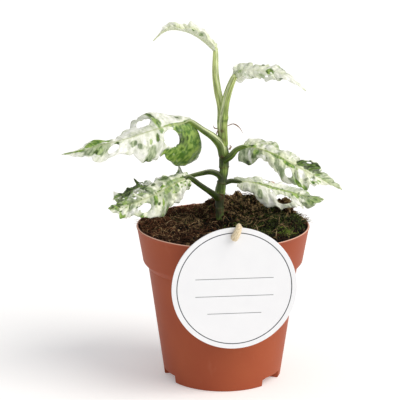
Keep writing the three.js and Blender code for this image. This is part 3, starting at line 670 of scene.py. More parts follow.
def threads(x, y, length, heading, lift, thick, bend):
    """Bent threads that lie on the bed. Each runs from x, y along its heading, which turns by bend over
    its length, and rises above the bed by lift at its middle, less at its ends."""
    share = np.linspace(0, 1, FIBRE_STATIONS)
    way = heading[:, None] + bend[:, None] * (share - 0.5)
    step = length[:, None] / (FIBRE_STATIONS - 1)
    line_x = x[:, None] + np.cumsum(np.cos(way) * step, axis=1)
    line_y = y[:, None] + np.cumsum(np.sin(way) * step, axis=1)
    held = np.minimum(1, (SOIL_EDGE - 0.6) / np.hypot(line_x, line_y))
    line_x, line_y = line_x * held, line_y * held
    line_z = soil_top(line_x, line_y) + 0.2 + 1.4 * mossiness(line_x, line_y)
    line_z += lift[:, None] * np.sin(np.pi * share)
    taper = thick[:, None] * (0.45 + 0.55 * np.sin(np.pi * (0.1 + 0.8 * share)))
    return carried_rings(np.stack([line_x, line_y, line_z], -1), taper, (0, 0, 1), 3)


def coir_chance(x, y):
    """More fibres where the soil is red, and some everywhere."""
    return np.clip(0.16 + 0.9 * redness(x, y) - 0.1 * mossiness(x, y), 0, 1)


x, y = scattered(FIBRES, SOIL_EDGE - 2, coir_chance)
count = len(x)
rings = threads(x, y, rng.uniform(3, 13, count), rng.uniform(0, 6.28, count), rng.uniform(0, 1.8, count) ** 1.5,
                rng.uniform(0.1, 0.26, count), rng.normal(0, 0.9, count))
clump, moss = clumps(x, y), mossiness(x, y)
tint = np.clip((0.4 + 0.6 * redness(x, y) + rng.uniform(-0.4, 0.4, count)) * (0.3 + 0.8 * clump), 0, 1)
dry = bell(x, -27, 17) * bell(y, -8, 22)
light = (rng.random(count) < 0.12 + 0.25 * moss + 0.7 * dry * clump) * rng.uniform(0.4, 1, count)
make_tubes("coir_fibres", rings, "soil", soil_finish,
           shares={"tint": tint * (1 - 0.5 * moss), "light": light})

# %% [markdown]
# ## Moss
#
# On the right, moss has grown over the peat: low, dark green, with one bright young cushion near the
# front and a fringe of taller shoots along the wall. It could be grown as hair, but hair isn't part of
# a mesh. Each shoot is a short, pointed three-sided blade that leans its own way. Living moss is
# slightly moist, so it is a little less rough than the soil. Each blade carries its own freshness,
# from old and dark to young and bright.

# %% Living moss
moss_finish, tree, surface, fresh = new_finish(
    "living_moss", {"Roughness": 0.75, "Specular IOR Level": 0.3}, ("fresh",))
young_moss = coats(tree, "363E1D", (fresh, "A6C24C"))
# Painted shade: near-black patches on the shoots stand for the shade in the gaps between them.
gap_shade = add_node(tree, "MapRange", {"Value": grain(tree, 1.5), "From Min": 0.35, "From Max": 0.7})[0]
cover(tree, surface, coats(tree, "15180C", (gap_shade, young_moss)))

# %% Moss shoots
SHOOTS, CUSHION_SHOOTS, FRINGE_SHOOTS = 5200, 520, 1500
CUSHION_X, CUSHION_Y = 43.5, -18
x, y = scattered(SHOOTS, SOIL_EDGE - 1, mossiness)
cushion_x = rng.normal(CUSHION_X, 3, CUSHION_SHOOTS)
cushion_y = rng.normal(CUSHION_Y, 3.4, CUSHION_SHOOTS)
bearing = rng.uniform(0.05, 1.15, FRINGE_SHOOTS)
fringe_x, fringe_y = round_pot(bearing, rng.uniform(49, 57.3, FRINGE_SHOOTS))
x, y = np.concatenate([x, cushion_x, fringe_x]), np.concatenate([y, cushion_y, fringe_y])
inside_pot = np.hypot(x, y) < SOIL_EDGE - 1
x, y = x[inside_pot], y[inside_pot]
count = len(x)
share = np.array([0, 0.55, 1.0])
fringe = ramp(np.hypot(x, y), 50, 55) * ramp(y, -2, 6)
height = (rng.uniform(0.9, 2.4, count) * (1 + 0.8 * fringe))[:, None]
lean = rng.normal(0, 0.75, (count, 2))
line = np.stack([x[:, None] + lean[:, :1] * height * share ** 1.5,
                 y[:, None] + lean[:, 1:] * height * share ** 1.5,
                 soil_top(x, y)[:, None] - 0.2 + height * share], -1)
taper = rng.uniform(0.2, 0.36, count)[:, None] * np.array([0.85, 0.95, 0.1])
rings = carried_rings(line, taper, (0.31, 0.95, 0.1), 3)
fresh = 0.75 * rng.random(count) ** 2.2 + 0.95 * bell(x, CUSHION_X, 5) * bell(y, CUSHION_Y, 6)
make_tubes("moss_shoots", rings, "soil", moss_finish, shares={"fresh": np.clip(fresh, 0, 1)})


# %% [markdown]
# ## The green stem's finish
#
# A monstera's stem and leaf stalks have a smooth, waxy green skin with fine lengthwise stripes. Young
# growth is a pale yellow-green. Lower down the stem darkens, and corky brown patches and dry scars
# mark where old sheaths were. The wax gives a soft gloss, so roughness is near 0.4. Each point says
# how young it is, with painted light and shade added to that number, how pale and how scarred it
# is, and carries a place round the stalk for the stripes.

# %% Waxy stem skin
stem_finish, tree, surface, youth_and_shading, pale, scar = new_finish(
    "waxy_stem_skin", {"Roughness": 0.42, "IOR": 1.45, "Specular IOR Level": 0.22},
    ("youth_and_shading", "pale", "scar"))
wrap = add_node(tree, "Attribute", {"attribute_name": "wrap"})["Vector"]
stripes = add_node(tree, "TexNoise", {"Scale": 1.1, "Detail": 2.0, "Vector": wrap})[0]
# The ramp turns age, with painted light and shade added to it, into colour.
by_age_and_shading = add_node(tree, "ValToRGB", {"Fac": youth_and_shading})[0]
steps = by_age_and_shading.node.color_ramp.elements
steps[0].color, steps[1].color = paint("1B230C"), paint("C6D286")
for place, hue in ((0.3, "4C6324"), (0.65, "8BA646")):
    steps.new(place).color = paint(hue)
skin = coats(tree, by_age_and_shading, (pale, "DDE5B8"))
striped = add_node(tree, "MapRange", {"Value": stripes, "From Min": 0.42, "From Max": 0.62})[0]
patchy = add_node(tree, "MapRange", {"Value": grain(tree, 1.8, 4), "From Min": 0.25, "From Max": 0.5})[0]
corky = add_node(tree, "Math", {"operation": "MULTIPLY", "use_clamp": True, 0: scar, 1: patchy})[0]
colour = coats(tree, skin, (striped, coats(tree, skin, (0.55, "2C3B0D"))), (corky, "5A4030"))
cover(tree, surface, colour, stripes, 0.25, 0.6)
print("finish:", stem_finish.name)

# %% [markdown]
# ## The stem
#
# The stem is a tube along the CAD's own line, with its own radii. On the real plant it swells at each
# joint, and a fine raised scar rings it there. Both are added to the radius as bell shapes over the
# height. The tube could be a curve object with a bevel, but that can't have a ring at a chosen height.

# %% Marks of the skin
# Places of corky or dry patches: x, y, z and reach, in mm
CORKY = [(-0.9, -2, 174.2, 1.5), (0.5, -3, 168, 1.4), (3.2, -2.5, 168, 1.4), (4, -2, 164, 1.3),
         (-0.8, -0.5, 127, 2.6), (-2, 1, 116, 1.3), (-2.5, 0, 156, 1.6), (-0.8, -3, 156.2, 1.2)]
# Stripes run lengthwise because a step along the stalk counts for this much of one round it.
STRIPE_STEP = 0.07


def corkiness(points):
    """How corky or dry the skin is: bell shapes round the patches' places."""
    away = [((points - place) ** 2).sum(-1) / reach ** 2 for *place, reach in CORKY]
    return np.clip(np.exp(-np.array(away)).sum(axis=0), 0, 1)


def stalk_shares(rings, radii, youth_and_shading, pale, scar):
    """Values per point for the stem's skin: its age with painted light and shade added, its paleness,
    its scars, and its place round and along the stalk in mm, where a step along counts for little, so
    that noise becomes stripes."""
    stations, sides = rings.shape[:2]
    step = np.linalg.norm(np.diff(rings.mean(axis=1), axis=0), axis=-1)
    length = np.concatenate([[0], np.cumsum(step)])[:, None] + np.zeros(sides)
    mean = radii.reshape(stations, -1).mean(axis=1)[:, None]
    wrap = [mean * np.cos(turns(sides)), mean * np.sin(turns(sides)), STRIPE_STEP * length]
    return {"youth_and_shading": youth_and_shading, "pale": pale, "scar": scar, "wrap": np.stack(wrap, -1)}


# %% Stem
STEM_PATH = [(-2, 3, 84), (-2, 3, 98), (-2, 3, 112), (-2.4, 3, 122), (-1.6, 3, 133), (0.2, 3, 143),
             (0.5, 3, 153), (0.5, 3, 162.8)]
STEM_RADII = [3, 3, 3.1, 3.1, 3.5, 2.9, 3.4, 2.5]
# Scars that ring the stem: height and rise, in mm
STEM_SCARS = [(118.5, 0.3), (129.5, 0.4), (137, 0.5), (148, 0.35), (157, 0.6)]
# Bands up the stem: height, reach and change of age; each band makes the skin darker or paler there.
STEM_BANDS = [(151.5, 3.4, -0.32), (145.5, 2, 0.2), (139.5, 3, -0.25), (130.5, 2.4, 0.25),
              (122.5, 3.2, -0.12)]
STEM_STATIONS, STEM_SIDES = 200, 36
TOWARD_VIEWER = (0, -1, 0)

s = np.linspace(0, 1, STEM_STATIONS)
centres = along(STEM_PATH, s)
height = centres[:, 2:]
scars = sum(rise * bell(height, place, 0.55) for place, rise in STEM_SCARS)
flutes = (0.12 * np.sin(5 * turns(STEM_SIDES) + 0.13 * height)
          + 0.08 * np.sin(9 * turns(STEM_SIDES) + 0.2 * height))
waist = 1 - 0.34 * bell(height, 105, 5) - 0.17 * bell(height, 115, 9)
radii = (along(STEM_RADII, s)[:, None] + scars) * waist + flutes
rings = carried_rings(centres, radii, TOWARD_VIEWER, STEM_SIDES)
radii = radii + 0.4 * soft_hills(rings, 6, 4) + 0.15 * soft_hills(rings, 2.5, 5)
rings = carried_rings(centres, radii, TOWARD_VIEWER, STEM_SIDES)

height = rings[..., 2]
# Painted highlight: the stem's right side is made paler, through the same number as its age.
lit = 0.3 * bell(rings[..., 0], 1.2, 1.3) * ramp(height, 108, 150)
foot = 0.5 * bell(height, 110, 3.5)
bands = sum(change * bell(height, place, reach) for place, reach, change in STEM_BANDS)
age_and_shading = (0.45 * ramp(height, 122, 172) + lit + foot + bands
       + 0.3 * soft_hills(rings, 4.5, 2) + 0.14 * soft_hills(rings, 1.6, 8))
wavy = height + 1.1 * soft_hills(rings, 4, 6)
rung = sum(bell(wavy, place, 0.5) for place, rise in STEM_SCARS)
scar = np.clip(corkiness(rings) + 0.5 * rung, 0, 1)
make_tubes("plant_stem", rings, "stem", stem_finish, ["stem"],
           stalk_shares(rings, radii, age_and_shading, 0.06, scar))

# %% [markdown]
# ## The leaves, as numbers
#
# Each leaf is one row of the same numbers that the CAD source holds: points along its midrib, which
# way its upper face looks, its left and its right half, notches, holes, the ruffle of its edge, and
# its stalk. A half is its half widths, its droops, and then how far its foot leans back and how much
# it curls. A notch is side, place along the rib, depth and length, and one with a negative depth is a
# lobe. A hole is side, place, distance from the rib, half length and half breadth, and a lift of the
# edge is side, place, length and rise. What follows is only for looks: which way the stalk's channel
# faces, how old and how pale its skin is from stem to leaf, how finely the leaf is marbled and how
# strongly it is puckered, and its patches. A patch is a letter for cream, sage, green or dark, its
# place along the rib and across, its half length and half breadth, and its strength.

# %% Rows of numbers as text
CREAM, SAGE, GREEN, DARK = -1, 0, 1, 2
PATCH_KINDS = {"c": CREAM, "s": SAGE, "g": GREEN, "d": DARK}
VEIN_LEAN = [2, 10, 15, 22, 27, 33, 41, 45]


def rows(text):
    """Rows of numbers from text: spaces part the numbers, semicolons the rows. Letters are kinds."""
    return [[PATCH_KINDS[word] if word in PATCH_KINDS else float(word) for word in row.split()]
            for row in text.split(";") if row.strip()]


def leaf_half(text):
    """One half of a leaf: its widths, its droops, its lean from foot to tip, and its curl."""
    width, droop, (back, curl) = rows(text)
    return {"width": width, "droop": droop, "lean": [back] + VEIN_LEAN, "curl": [curl, curl]}


def leaf_row(left, right, notches="", holes="", lifts="", rust="", **more):
    """A leaf's numbers, with those that few leaves need filled in."""
    leaf = {"knuckle": -1, "dappled": 0, "bulged": 1, "ribbed": 1, "left": leaf_half(left),
            "right": leaf_half(right), "notches": rows(notches), "holes": rows(holes),
            "lifts": rows(lifts), "rust": rows(rust)}
    return leaf | {key: rows(value) if isinstance(value, str) else value for key, value in more.items()}


# %% The seven leaves
LEAVES = {
    "left_front": leaf_row(
        rib="-23 -16 145; -32 -21 142; -41 -25 138; -50 -28 134; -59 -30 131; -68 -31 128; -77 -31 127",
        up="0 -.6 .8; 0 -.65 .75; 0 -.5 .85", left="7 11 15 16 13.5 11 8.5 5 .5; 30 25 10 5 0; 5 32",
        right="4 8 10 10 9 9 8 5 .5; 0 0 10 5 0; -20 0",
        notches="-1 .2 .08 .03; -1 .77 -.3 .02; 1 .44 .3 .012; -1 .68 .12 .015",
        holes="-1 .55 .5 .07 .26; 1 .3 .5 .03 .16; 1 .62 .5 .02 .14", ruffle=(1.5, 5.5, 0),
        stalk="-3 0 126.5; -8.5 -5 132; -15 -11 138; -23 -16 145", stalk_radii=[2.8, 2.2, 1.9, 1.7],
        channel=(0, -0.3, 1), ages=(0.12, 0.36), paleness=0.45, seed=21, marbled=1, flecked=1,
        lime=0.65, pucker=1.3, dappled=0.3,
        patches="""
            d .06 .33 .045 .17 1; d .2 .76 .035 .15 .9; g .16 .25 .1 .25 .6; g .43 -.28 .022 .22 1;
            d .445 -.4 .011 .1 .9; g .363 -.46 .013 .18 1; d .34 .8 .025 .12 .9; d .43 .9 .025 .14 .9;
            g .52 .55 .05 .25 .7; g .775 -.85 .028 .16 1; d .955 .1 .032 .8 .95; d .84 .55 .06 .35 .95;
            d .73 .85 .05 .3 .9; g .75 .4 .08 .3 .8; s .66 .3 .07 .35 .8; c .13 -.8 .09 .3 .8;
            g .2 -.25 .05 .2 .6; c .68 -.7 .07 .25 .8; c .47 -.85 .04 .15 .6; s .3 -.3 .05 .3 .6;
            g .27 -.1 .06 .12 .8"""),
    "left_back": leaf_row(
        rib="-23 4 141; -32 8 140; -41 12 136; -50 15 132; -60 17 129; -70 18 124; -77 16 121",
        up="0 -.1 1; 0 -.2 1; -.2 -.4 .85", left="4 8 10 10 9 9 8 5 .5; 10 10 10 5 0; -10 22",
        right="4 9 10 9 6.5 5.5 5 4.5 .5; 0 0 -10 -20 0; -20 15",
        notches="1 .45 .3 .04; 1 .61 -.95 .012; 1 .17 -.45 .015; 1 .84 -.3 .02; 1 .28 .3 .012",
        holes="1 .35 .5 .045 .24; 1 .6 .5 .015 .12",
        lifts="1 .15 .03 6.5; 1 .61 .022 5; 1 .87 .03 3; 1 .42 .03 2.5", ruffle=(2.2, 5.5, 1),
        stalk="0 3 136; -2.5 2 142; -8.5 2 144.5; -16 3 143; -23 4 141",
        stalk_radii=[2.6, 2.2, 1.9, 1.6, 1.4], channel=(0, -0.3, 1), ages=(0.22, 0.5), paleness=0.7,
        seed=11, marbled=1, flecked=1, lime=0.2, pucker=1.3, dappled=0.22,
        patches="""
            d .11 .9 .04 .14 .9; d .32 .6 .035 .3 .9; d .47 .1 .045 .3 .9; d .57 -.2 .06 .4 .95;
            d .7 .5 .08 .5 1; d .8 -.15 .09 .7 1; d .61 .9 .03 .3 1; g .92 .3 .05 .4 .9;
            g .9 -.8 .04 .4 .8; c .2 -.6 .12 .4 .8; s .55 -.88 .03 .2 .9"""),
    "right_lower": leaf_row(
        rib="10 6 137.2; 20 11 135; 30 15 131.8; 40 18 128.2; 50 20 125; 60 20 122; 71 19 120.8",
        up=".1 -.45 .85; .1 -.5 .85; .1 -.4 .9", left="5 9 11 12 11 10 8 5 .5; 0 5 5 5 0; -20 15",
        right="3.5 7 13 16 14.3 12.3 10.5 6.5 .5; 20 25 15 10 0; -10 32",
        notches="-1 .42 .2 .012; 1 .72 .25 .015",
        holes="1 .515 .5 .084 .25; -1 .34 .55 .035 .24; 1 .39 .16 .012 .07", rust=".4 -.8 .022 .18",
        ruffle=(1.3, 4.5, 2), stalk="-1.5 2 136; 3 4 137; 6 5 137.5; 10 6 137",
        stalk_radii=[2.2, 1.7, 1.6, 1.5], channel=(0, -0.3, 1), ages=(0.15, 0.38), paleness=0.35,
        seed=15, marbled=0.55, flecked=0.45, lime=0.4, pucker=0.9, bulged=0.4,
        patches="""
            s .05 -.34 .08 .6 .5; s .258 .52 .035 .3 1; d .27 .45 .018 .16 .3; g .52 -.03 .46 .1 1;
            d .35 -.04 .25 .05 .7; g .68 .2 .055 .16 1; d .675 -.93 .016 .14 .9; d .71 -.25 .015 .12 .8;
            s .78 -.7 .05 .35 .9; g .74 -.95 .025 .2 .9; s .87 .3 .13 .95 1; s .77 .75 .05 .3 1;
            g .85 .6 .08 .4 .6; d .8 -.15 .03 .3 .6; g .94 0 .06 .9 .7; c .42 .6 .09 .35 .9;
            c .65 .6 .05 .35 .9; c .5 -.7 .06 .3 .8"""),
    "right_upper": leaf_row(
        rib="14 -4 164; 24 -10 163.6; 35 -14.5 160.6; 46 -17 155.4; 57 -19 149.4; 68 -19 143.8; 80 -18 137.4",
        up=".1 -.6 .8; 0 -.65 .75; 0 -.5 .85", left="6 11 9 7.5 9 13 9.5 7 .5; 0 5 0 5 0; -20 5",
        right="12.5 9 8.5 13.5 15.5 14 6.5 2.5 .5; 30 20 20 10 0; -25 32",
        notches="1 .27 .35 .04; 1 .5 .08 .03; -1 .36 .12 .03; -1 .5 .15 .012; -1 .7 .3 .015; 1 .665 .3 .015",
        holes="1 .485 .5 .036 .22; -1 .585 .62 .014 .1; 1 .7 .4 .012 .1", ruffle=(1.5, 5.5, 1),
        stalk=".5 0 153; 5.3 -2 156.8; 9 -3 161.2; 14 -4 163.7", stalk_radii=[2.6, 2.3, 1.9, 1.5],
        channel=(0, -0.3, 1), ages=(0.3, 0.6), paleness=0.4, seed=31, marbled=0.85, flecked=0.65,
        lime=0.65, pucker=1.1, dappled=0.08,
        patches="""
            s .12 .55 .1 .55 .85; s .02 .6 .05 .5 1; d .069 .88 .018 .1 .9; c .085 .55 .012 .35 1;
            g .09 -.1 .05 .12 1; d .08 -.13 .028 .08 .8; d .131 .58 .025 .2 .95; g .15 .35 .03 .22 .9;
            d .263 .68 .013 .1 .9; c .21 .75 .05 .3 .9; d .35 .32 .012 .16 .7; s .365 .45 .026 .35 1;
            s .415 .6 .03 .25 1; g .33 .04 .1 .08 .9; d .245 -.03 .02 .06 .8; g .48 .13 .055 .09 1;
            s .53 .7 .05 .25 1; g .575 .82 .038 .22 1; g .625 .86 .028 .2 1; d .56 -.45 .045 .4 1;
            d .625 -.6 .055 .45 1; d .7 -.45 .06 .35 .9; g .75 -.2 .03 .2 .9; g .7 .66 .022 .14 1;
            g .775 .5 .025 .18 1; d .694 .36 .013 .09 .9; g .84 -.15 .05 .3 .8; s .87 -.5 .07 .5 .9;
            c .61 .25 .035 .2 1; c .27 -.4 .08 .3 .8; s .93 .1 .06 1 .8"""),
    "left_large": leaf_row(
        rib="-22 -4 181; -36 -12 180; -50 -18 177; -65 -23 173; -79 -26 170; -94 -27 166; -108 -26 163",
        up=".1 -.75 .65; 0 -.7 .7; 0 -.6 .8",
        left="34.5 34 27 20 20 22 18 12.5 11 12 13 12 8.5 6 4.5 2.5 .5; 35 15 10 5 0; -28 34",
        right="3 7 11.5 14 15.5 16 14 11 8 5.5 5 8 7.5 3.5 1.5 .8 .5; 0 0 30 5 0; -30 12",
        notches="1 .56 .15 .03; -1 .235 .14 .014; 1 .3 .1 .012; -1 .43 .12 .012; -1 .72 .15 .012",
        holes="-1 .175 .39 .062 .27; -1 .59 .4 .042 .26; 1 .315 .58 .05 .22", ruffle=(1.2, 4.5, 0.5),
        stalk=".5 1 156.5; -1.5 0 163.5; -7 -2 170; -14 -3 175; -22 -4 181",
        stalk_radii=[3.7, 3.4, 2.6, 2.1, 1.6], channel=(0.2, -0.6, 0.8), ages=(0.45, 0.66),
        paleness=0.95, seed=28, marbled=0.4, flecked=0.4, lime=0.2, pucker=0.8,
        patches="""
            g .03 -.5 .1 .7 1; g .15 -.9 .07 .2 1; d .1 -.3 .035 .3 .9; g .08 -.12 .06 .14 1;
            g .105 -.7 .045 .2 1; d .06 .06 .045 .1 .85; g .14 .04 .09 .08 .9; d .09 .6 .013 .1 .9;
            d .24 .6 .014 .5 1; g .24 .3 .02 .3 .9; d .28 -.25 .014 .15 1; g .245 -.1 .02 .12 .9;
            s .45 -.42 .026 .17 1; s .406 -.5 .015 .12 .9; g .331 -.35 .01 .09 .8;
            s .315 -.8 .036 .33 1; d .338 -.98 .014 .08 .9; d .57 -.13 .018 .12 1; g .665 .65 .055 .4 1;
            g .76 .4 .065 .4 1; g .86 0 .06 .3 1; s .68 -.25 .06 .45 1; s .76 -.4 .07 .5 1;
            g .7 -.4 .03 .3 .5; d .72 -.5 .018 .14 .95; c .42 .55 .1 .4 .9; c .55 -.75 .06 .3 .9;
            c .16 .5 .06 .3 .8; g .95 0 .05 .9 .8"""),
    "top_right": leaf_row(
        rib="7 -2 211; 11 -4 216; 18 -6 217; 26 -8 216.5; 35 -10 216.5; 45 -12 212.5; 55 -12 204",
        up=".2 -.7 .6; 0 -.7 .7; .4 -.6 .6", left="4 7.5 9 8.5 8.5 8 4 2.6 .5; 10 10 10 20 0; 0 20",
        right="7 9 6.5 6.5 7 7 4.5 3 .5; 20 20 20 20 0; -20 30",
        notches="-1 .3 .25 .02; -1 .52 .3 .02; 1 .45 .25 .02", holes="1 .53 .55 .014 .1",
        ruffle=(1, 5.5, 0), stalk=".5 1.5 163.3; -.5 1 178; 1.2 0 192; 3.6 -1 202; 7 -2 211",
        stalk_radii=[2.9, 3.4, 2.8, 2.5, 2], channel=(-0.55, -0.8, 0), ages=(0.76, 1.05),
        paleness=0.75, knuckle=0.27, seed=9, marbled=0.3, flecked=0.45, lime=0.4, pucker=1.1,
        bulged=0.25, ribbed=0.35,
        patches="""
            s .12 0 .12 .4 .4; g .594 .05 .055 .4 1; d .56 .12 .014 .14 .9; d .615 -.12 .02 .14 .9;
            c .6 .25 .014 .12 .8; d .425 -.88 .016 .14 .9; g .15 .02 .045 .15 .6;
            d .338 .84 .018 .12 .9; s .66 -.95 .05 .2 .9; d .7 .82 .03 .13 .8; g .48 .5 .03 .2 .6;
            c .86 0 .13 1.3 .9"""),
    "top_left": leaf_row(
        rib="-5.5 4 228; -11 2 233.5; -19 0 239.5; -27 -2 243; -35 -4 244; -41 -6 242; -47 -8 237",
        up=".3 -.6 .7; .2 -.6 .8; -.4 -.6 .6",
        left="2 5 7 6 4 5.5 3.6 1.6 .4; -20 -60 -50 -50 0; 0 -30",
        right="4.5 7.5 8 8 4.4 6 3.3 1.1 .4; -40 -40 -40 -40 0; -20 45",
        notches="1 .42 .3 .02; -1 .3 .25 .02", ruffle=(1, 5.5, 0),
        stalk="-1.5 4 177.5; -1.5 5 189; -4 5 201; -5.5 5 213.5; -5.5 4 228",
        stalk_radii=[2.8, 2.7, 2.5, 2.2, 1.7], channel=(0.5, -0.8, 0), ages=(0.94, 1.08), paleness=0.8,
        seed=5, marbled=0.12, flecked=0.3, lime=0.7, pucker=1, bulged=0.4, ribbed=0.5,
        patches="""
            g .369 -.88 .018 .16 1; g .281 -.6 .022 .22 .9; g .33 .1 .02 .2 .6; c .3 .8 .15 .25 .8;
            c .75 .7 .15 .3 .8"""),
}
print("leaves:", ", ".join(LEAVES))

# %% [markdown]
# ## Leaf stalks
#
# A monstera's stalk is channelled on its upper side, with a low wing on each side of the channel, and
# clasps the stem with a sheath. It follows the CAD's line and radii. Its radius changes round the
# stalk as well: less in the channel, a little more at the wings. The last stretch runs on under the
# midrib and thins out, so that stalk and rib are one. The skin is painted darker at the wings' edges
# as painted shade, and along the channel's borders as a painted shadow line. One stalk has a knuckle,
# a low ring with a painted shadow line below it and a painted highlight below that.

# %% Stalks
STALK_STATIONS, STALK_SIDES = 110, 36
STALK_TIP_RADIUS = 0.75
around = turns(STALK_SIDES)
around = np.where(around > np.pi, around - 2 * np.pi, around)


def stalk_rings(leaf, s):
    """Rings of a stalk: the CAD's radii, less 22% in the channel and more at the wings beside it, both
    fading toward the leaf, along a line that runs on under the first twentieth of the midrib."""
    under = along(leaf["rib"], np.array(0.05)) - 0.5 * unit(np.array(leaf["up"][0]))
    centres = along(leaf["stalk"] + [under], s[:, 0])
    radii = along(leaf["stalk_radii"] + [STALK_TIP_RADIUS], s)
    channel = 0.22 * bell(around, 0, 0.4) - 0.1 * bell(np.abs(around), 0.8, 0.28)
    radii = radii * (1 - channel * (1 - 0.7 * s))
    radii = radii * (1 + 0.14 * bell(s, leaf["knuckle"], 0.028))
    return carried_rings(centres, radii, leaf["channel"], STALK_SIDES), radii


def make_stalk(name, leaf):
    """One stalk: younger toward the leaf, with painted shade at the wings' edges, painted shadow lines along
    the channel's borders and below the knuckle, and a painted highlight below that line.
    """
    s = np.linspace(0, 1, STALK_STATIONS)[:, None]
    rings, radii = stalk_rings(leaf, s)
    low, high = leaf["ages"]
    # Painted shade at the wings' edges and a painted shadow line along each channel border. At a knuckle there
    # is a painted shadow line with a painted highlight below it.
    edge = bell(np.abs(around), 1.05, 0.3)
    border_shadow = bell(np.abs(around), 0.55, 0.13) * ramp(s, 0, 0.15)
    slanted = s - leaf["knuckle"] + 0.03 - 0.012 * np.sin(around)
    age_and_shading = (low + (high - low) * s - 0.5 * (1.1 - high) * edge + 0.12 * soft_hills(rings, 4, 3)
           - 0.3 * bell(slanted, 0, 0.012) + 0.12 * bell(slanted, -0.05, 0.03) - 0.3 * border_shadow)
    pale = leaf["paleness"] * bell(around, 0, 0.6) * ramp(s, 0, 0.25) * (1 - 0.8 * border_shadow)
    make_tubes("stalk_" + name, rings, "petiole", stem_finish, ["petiole_" + name],
               stalk_shares(rings, radii, age_and_shading, pale, corkiness(rings)))


for name, leaf in LEAVES.items():
    make_stalk(name, leaf)

# %% [markdown]
# ## The leaf's finish
#
# White-marbled monstera tissue is cream where its cells lack green, and sage, bright or dark green
# elsewhere, in clouds, streaks and freckles. Its cuticle is waxy and smooth, with a roughness near
# 0.4, and its lower face is paler and duller. The large pattern is worked out per point, as shares of
# sage, green, dark and lime. The shader mixes the colours and breaks each one up with a finer grain.

# %% Waxy leaf cuticle
leaf_finish, tree, surface, rib_share, underside, rust = new_finish(
    "waxy_leaf_cuticle", {"IOR": 1.45}, ("rib", "underside", "rust"))
tones = add_node(tree, "Attribute", {"attribute_name": "tones"})
sage_share, green_share, dark_share = add_node(tree, "SeparateColor", {"Color": tones["Color"]})
flat = add_node(tree, "Attribute", {"attribute_name": "flat"})["Vector"]
fine = grain(tree, 1.5, 4, (1, 0.4, 1), flat)
mist = grain(tree, 2.8, 4, (1, 0.5, 1), flat)
streaky = add_node(tree, "MapRange", {"Value": fine, "From Min": 0.4, "From Max": 0.6})[0]
misty = add_node(tree, "MapRange", {"Value": mist, "From Min": 0.42, "From Max": 0.66})[0]
sage = coats(tree, "B0BC98", (streaky, "748660"))
green = coats(tree, "98B556", (streaky, "50772B"))
dark = coats(tree, "617C36", (streaky, "263510"))
paler = add_node(tree, "Math", {"operation": "MULTIPLY", 0: underside, 1: 0.28})[0]
colour = coats(tree, "F2F3ED", (misty, "CAD0B9"), (tones["Alpha"], "D3DBAA"), (sage_share, sage),
               (green_share, green), (dark_share, dark), (rib_share, "A2AD6C"), (rust, "B5652E"),
               (paler, "BCC6A4"))
rough = add_node(tree, "MapRange", {"Value": underside, "To Min": 0.36, "To Max": 0.62})[0]
tree.links.new(rough, surface.inputs["Roughness"])
cover(tree, surface, colour, fine, 0.22, 0.7)
print("finish:", leaf_finish.name)

# %% [markdown]
# ## The blade's form
#
# A leaf blade could be a cut-out plane, bent by hand. Here it is a function of two numbers: s runs
# along the midrib, and t runs across, from -1 at the left edge to 1 at the right. A line of equal s is
# a side vein, which leans toward the tip. Each half has its own width, lean and droop, as in the CAD
# source. The edge also gets what is too fine for it: small waves in its width and height, and lifts.

# %% The blade's middle layer
VEIN_BEND = 20
EDGE_LENGTH = 90


def of_half(leaf, t, s, key):
    """A row of numbers at s, from the leaf's left half where t is below 0 and from its right half."""
    return np.where(t < 0, along(leaf["left"][key], s), along(leaf["right"][key], s))


def rib_frame(leaf, s):
    """The midrib's point, its direction, its upward normal and the direction across, at each s."""
    step = 0.001
    onward = unit(along(leaf["rib"], s + step) - along(leaf["rib"], s - step))
    up = along(leaf["up"], s)
    up = unit(up - (up * onward).sum(-1, keepdims=True) * onward)
    return along(leaf["rib"], s), onward, up, np.cross(onward, up)


def edge_hills(leaf, s, t, apart, size, seed):
    """Soft hills along the leaf's edge, over a length of 90 mm, other ones for each half and leaf."""
    place = np.stack([EDGE_LENGTH * s, apart * np.sign(t), 0 * s + leaf["seed"]], -1)
    return soft_hills(place, size, seed)


def half_width(leaf, s, t):
    """Half width in mm: the row of widths, less each notch as a bell shape along the rib, with waves
    of 6 and 2.4 mm that grow toward the edge."""
    width = of_half(leaf, t, s, "width")
    for side, place, depth, length in leaf["notches"]:
        width = np.where(np.sign(t) == side, width * (1 - depth * bell(s, place, length)), width)
    waves = 0.09 * edge_hills(leaf, s, t, 5, 6, 1) + 0.06 * edge_hills(leaf, s, t, 5, 2.4, 2)
    return width * (1 + waves * t ** 4)


def blade_middle(leaf, s, t):
    """The blade's middle layer. From the rib's point it goes out by the half width times |t|, in a
    direction that leans toward the tip and droops. The edge is ruffled up and down, crinkled in
    hills of 5 and 2.2 mm, and raised as a bell shape at each lift."""
    rib, onward, up, across = rib_frame(leaf, s)
    side, a = np.where(t < 0, -1.0, 1.0), np.abs(t)
    width = half_width(leaf, s, t)
    lean = np.radians(of_half(leaf, t, s, "lean") + VEIN_BEND * (a - 0.5))
    droop = np.radians(of_half(leaf, t, s, "droop") + of_half(leaf, t, s, "curl") * (1 - s) * a)
    height, waves, shift = leaf["ruffle"]
    ruffle = height * np.sin(2 * np.pi * waves * s + shift + 1.1 * side)
    crinkle = 1.3 * edge_hills(leaf, s, side, 7, 5, 3) + 0.7 * edge_hills(leaf, s, side, 7, 2.2, 4)
    lift = (ruffle * a ** 2 + leaf["pucker"] * crinkle * a ** 3) * np.minimum(1, width / 8)
    for half, place, length, rise in leaf["lifts"]:
        lift = lift + rise * bell(s, place, length) * (side == half) * a ** 3
    outward = (side * np.cos(droop))[..., None] * across - np.sin(droop)[..., None] * up
    sideways = (width * a * np.cos(lean))[..., None] * outward
    return rib + sideways + (width * a * np.sin(lean))[..., None] * onward + lift[..., None] * up


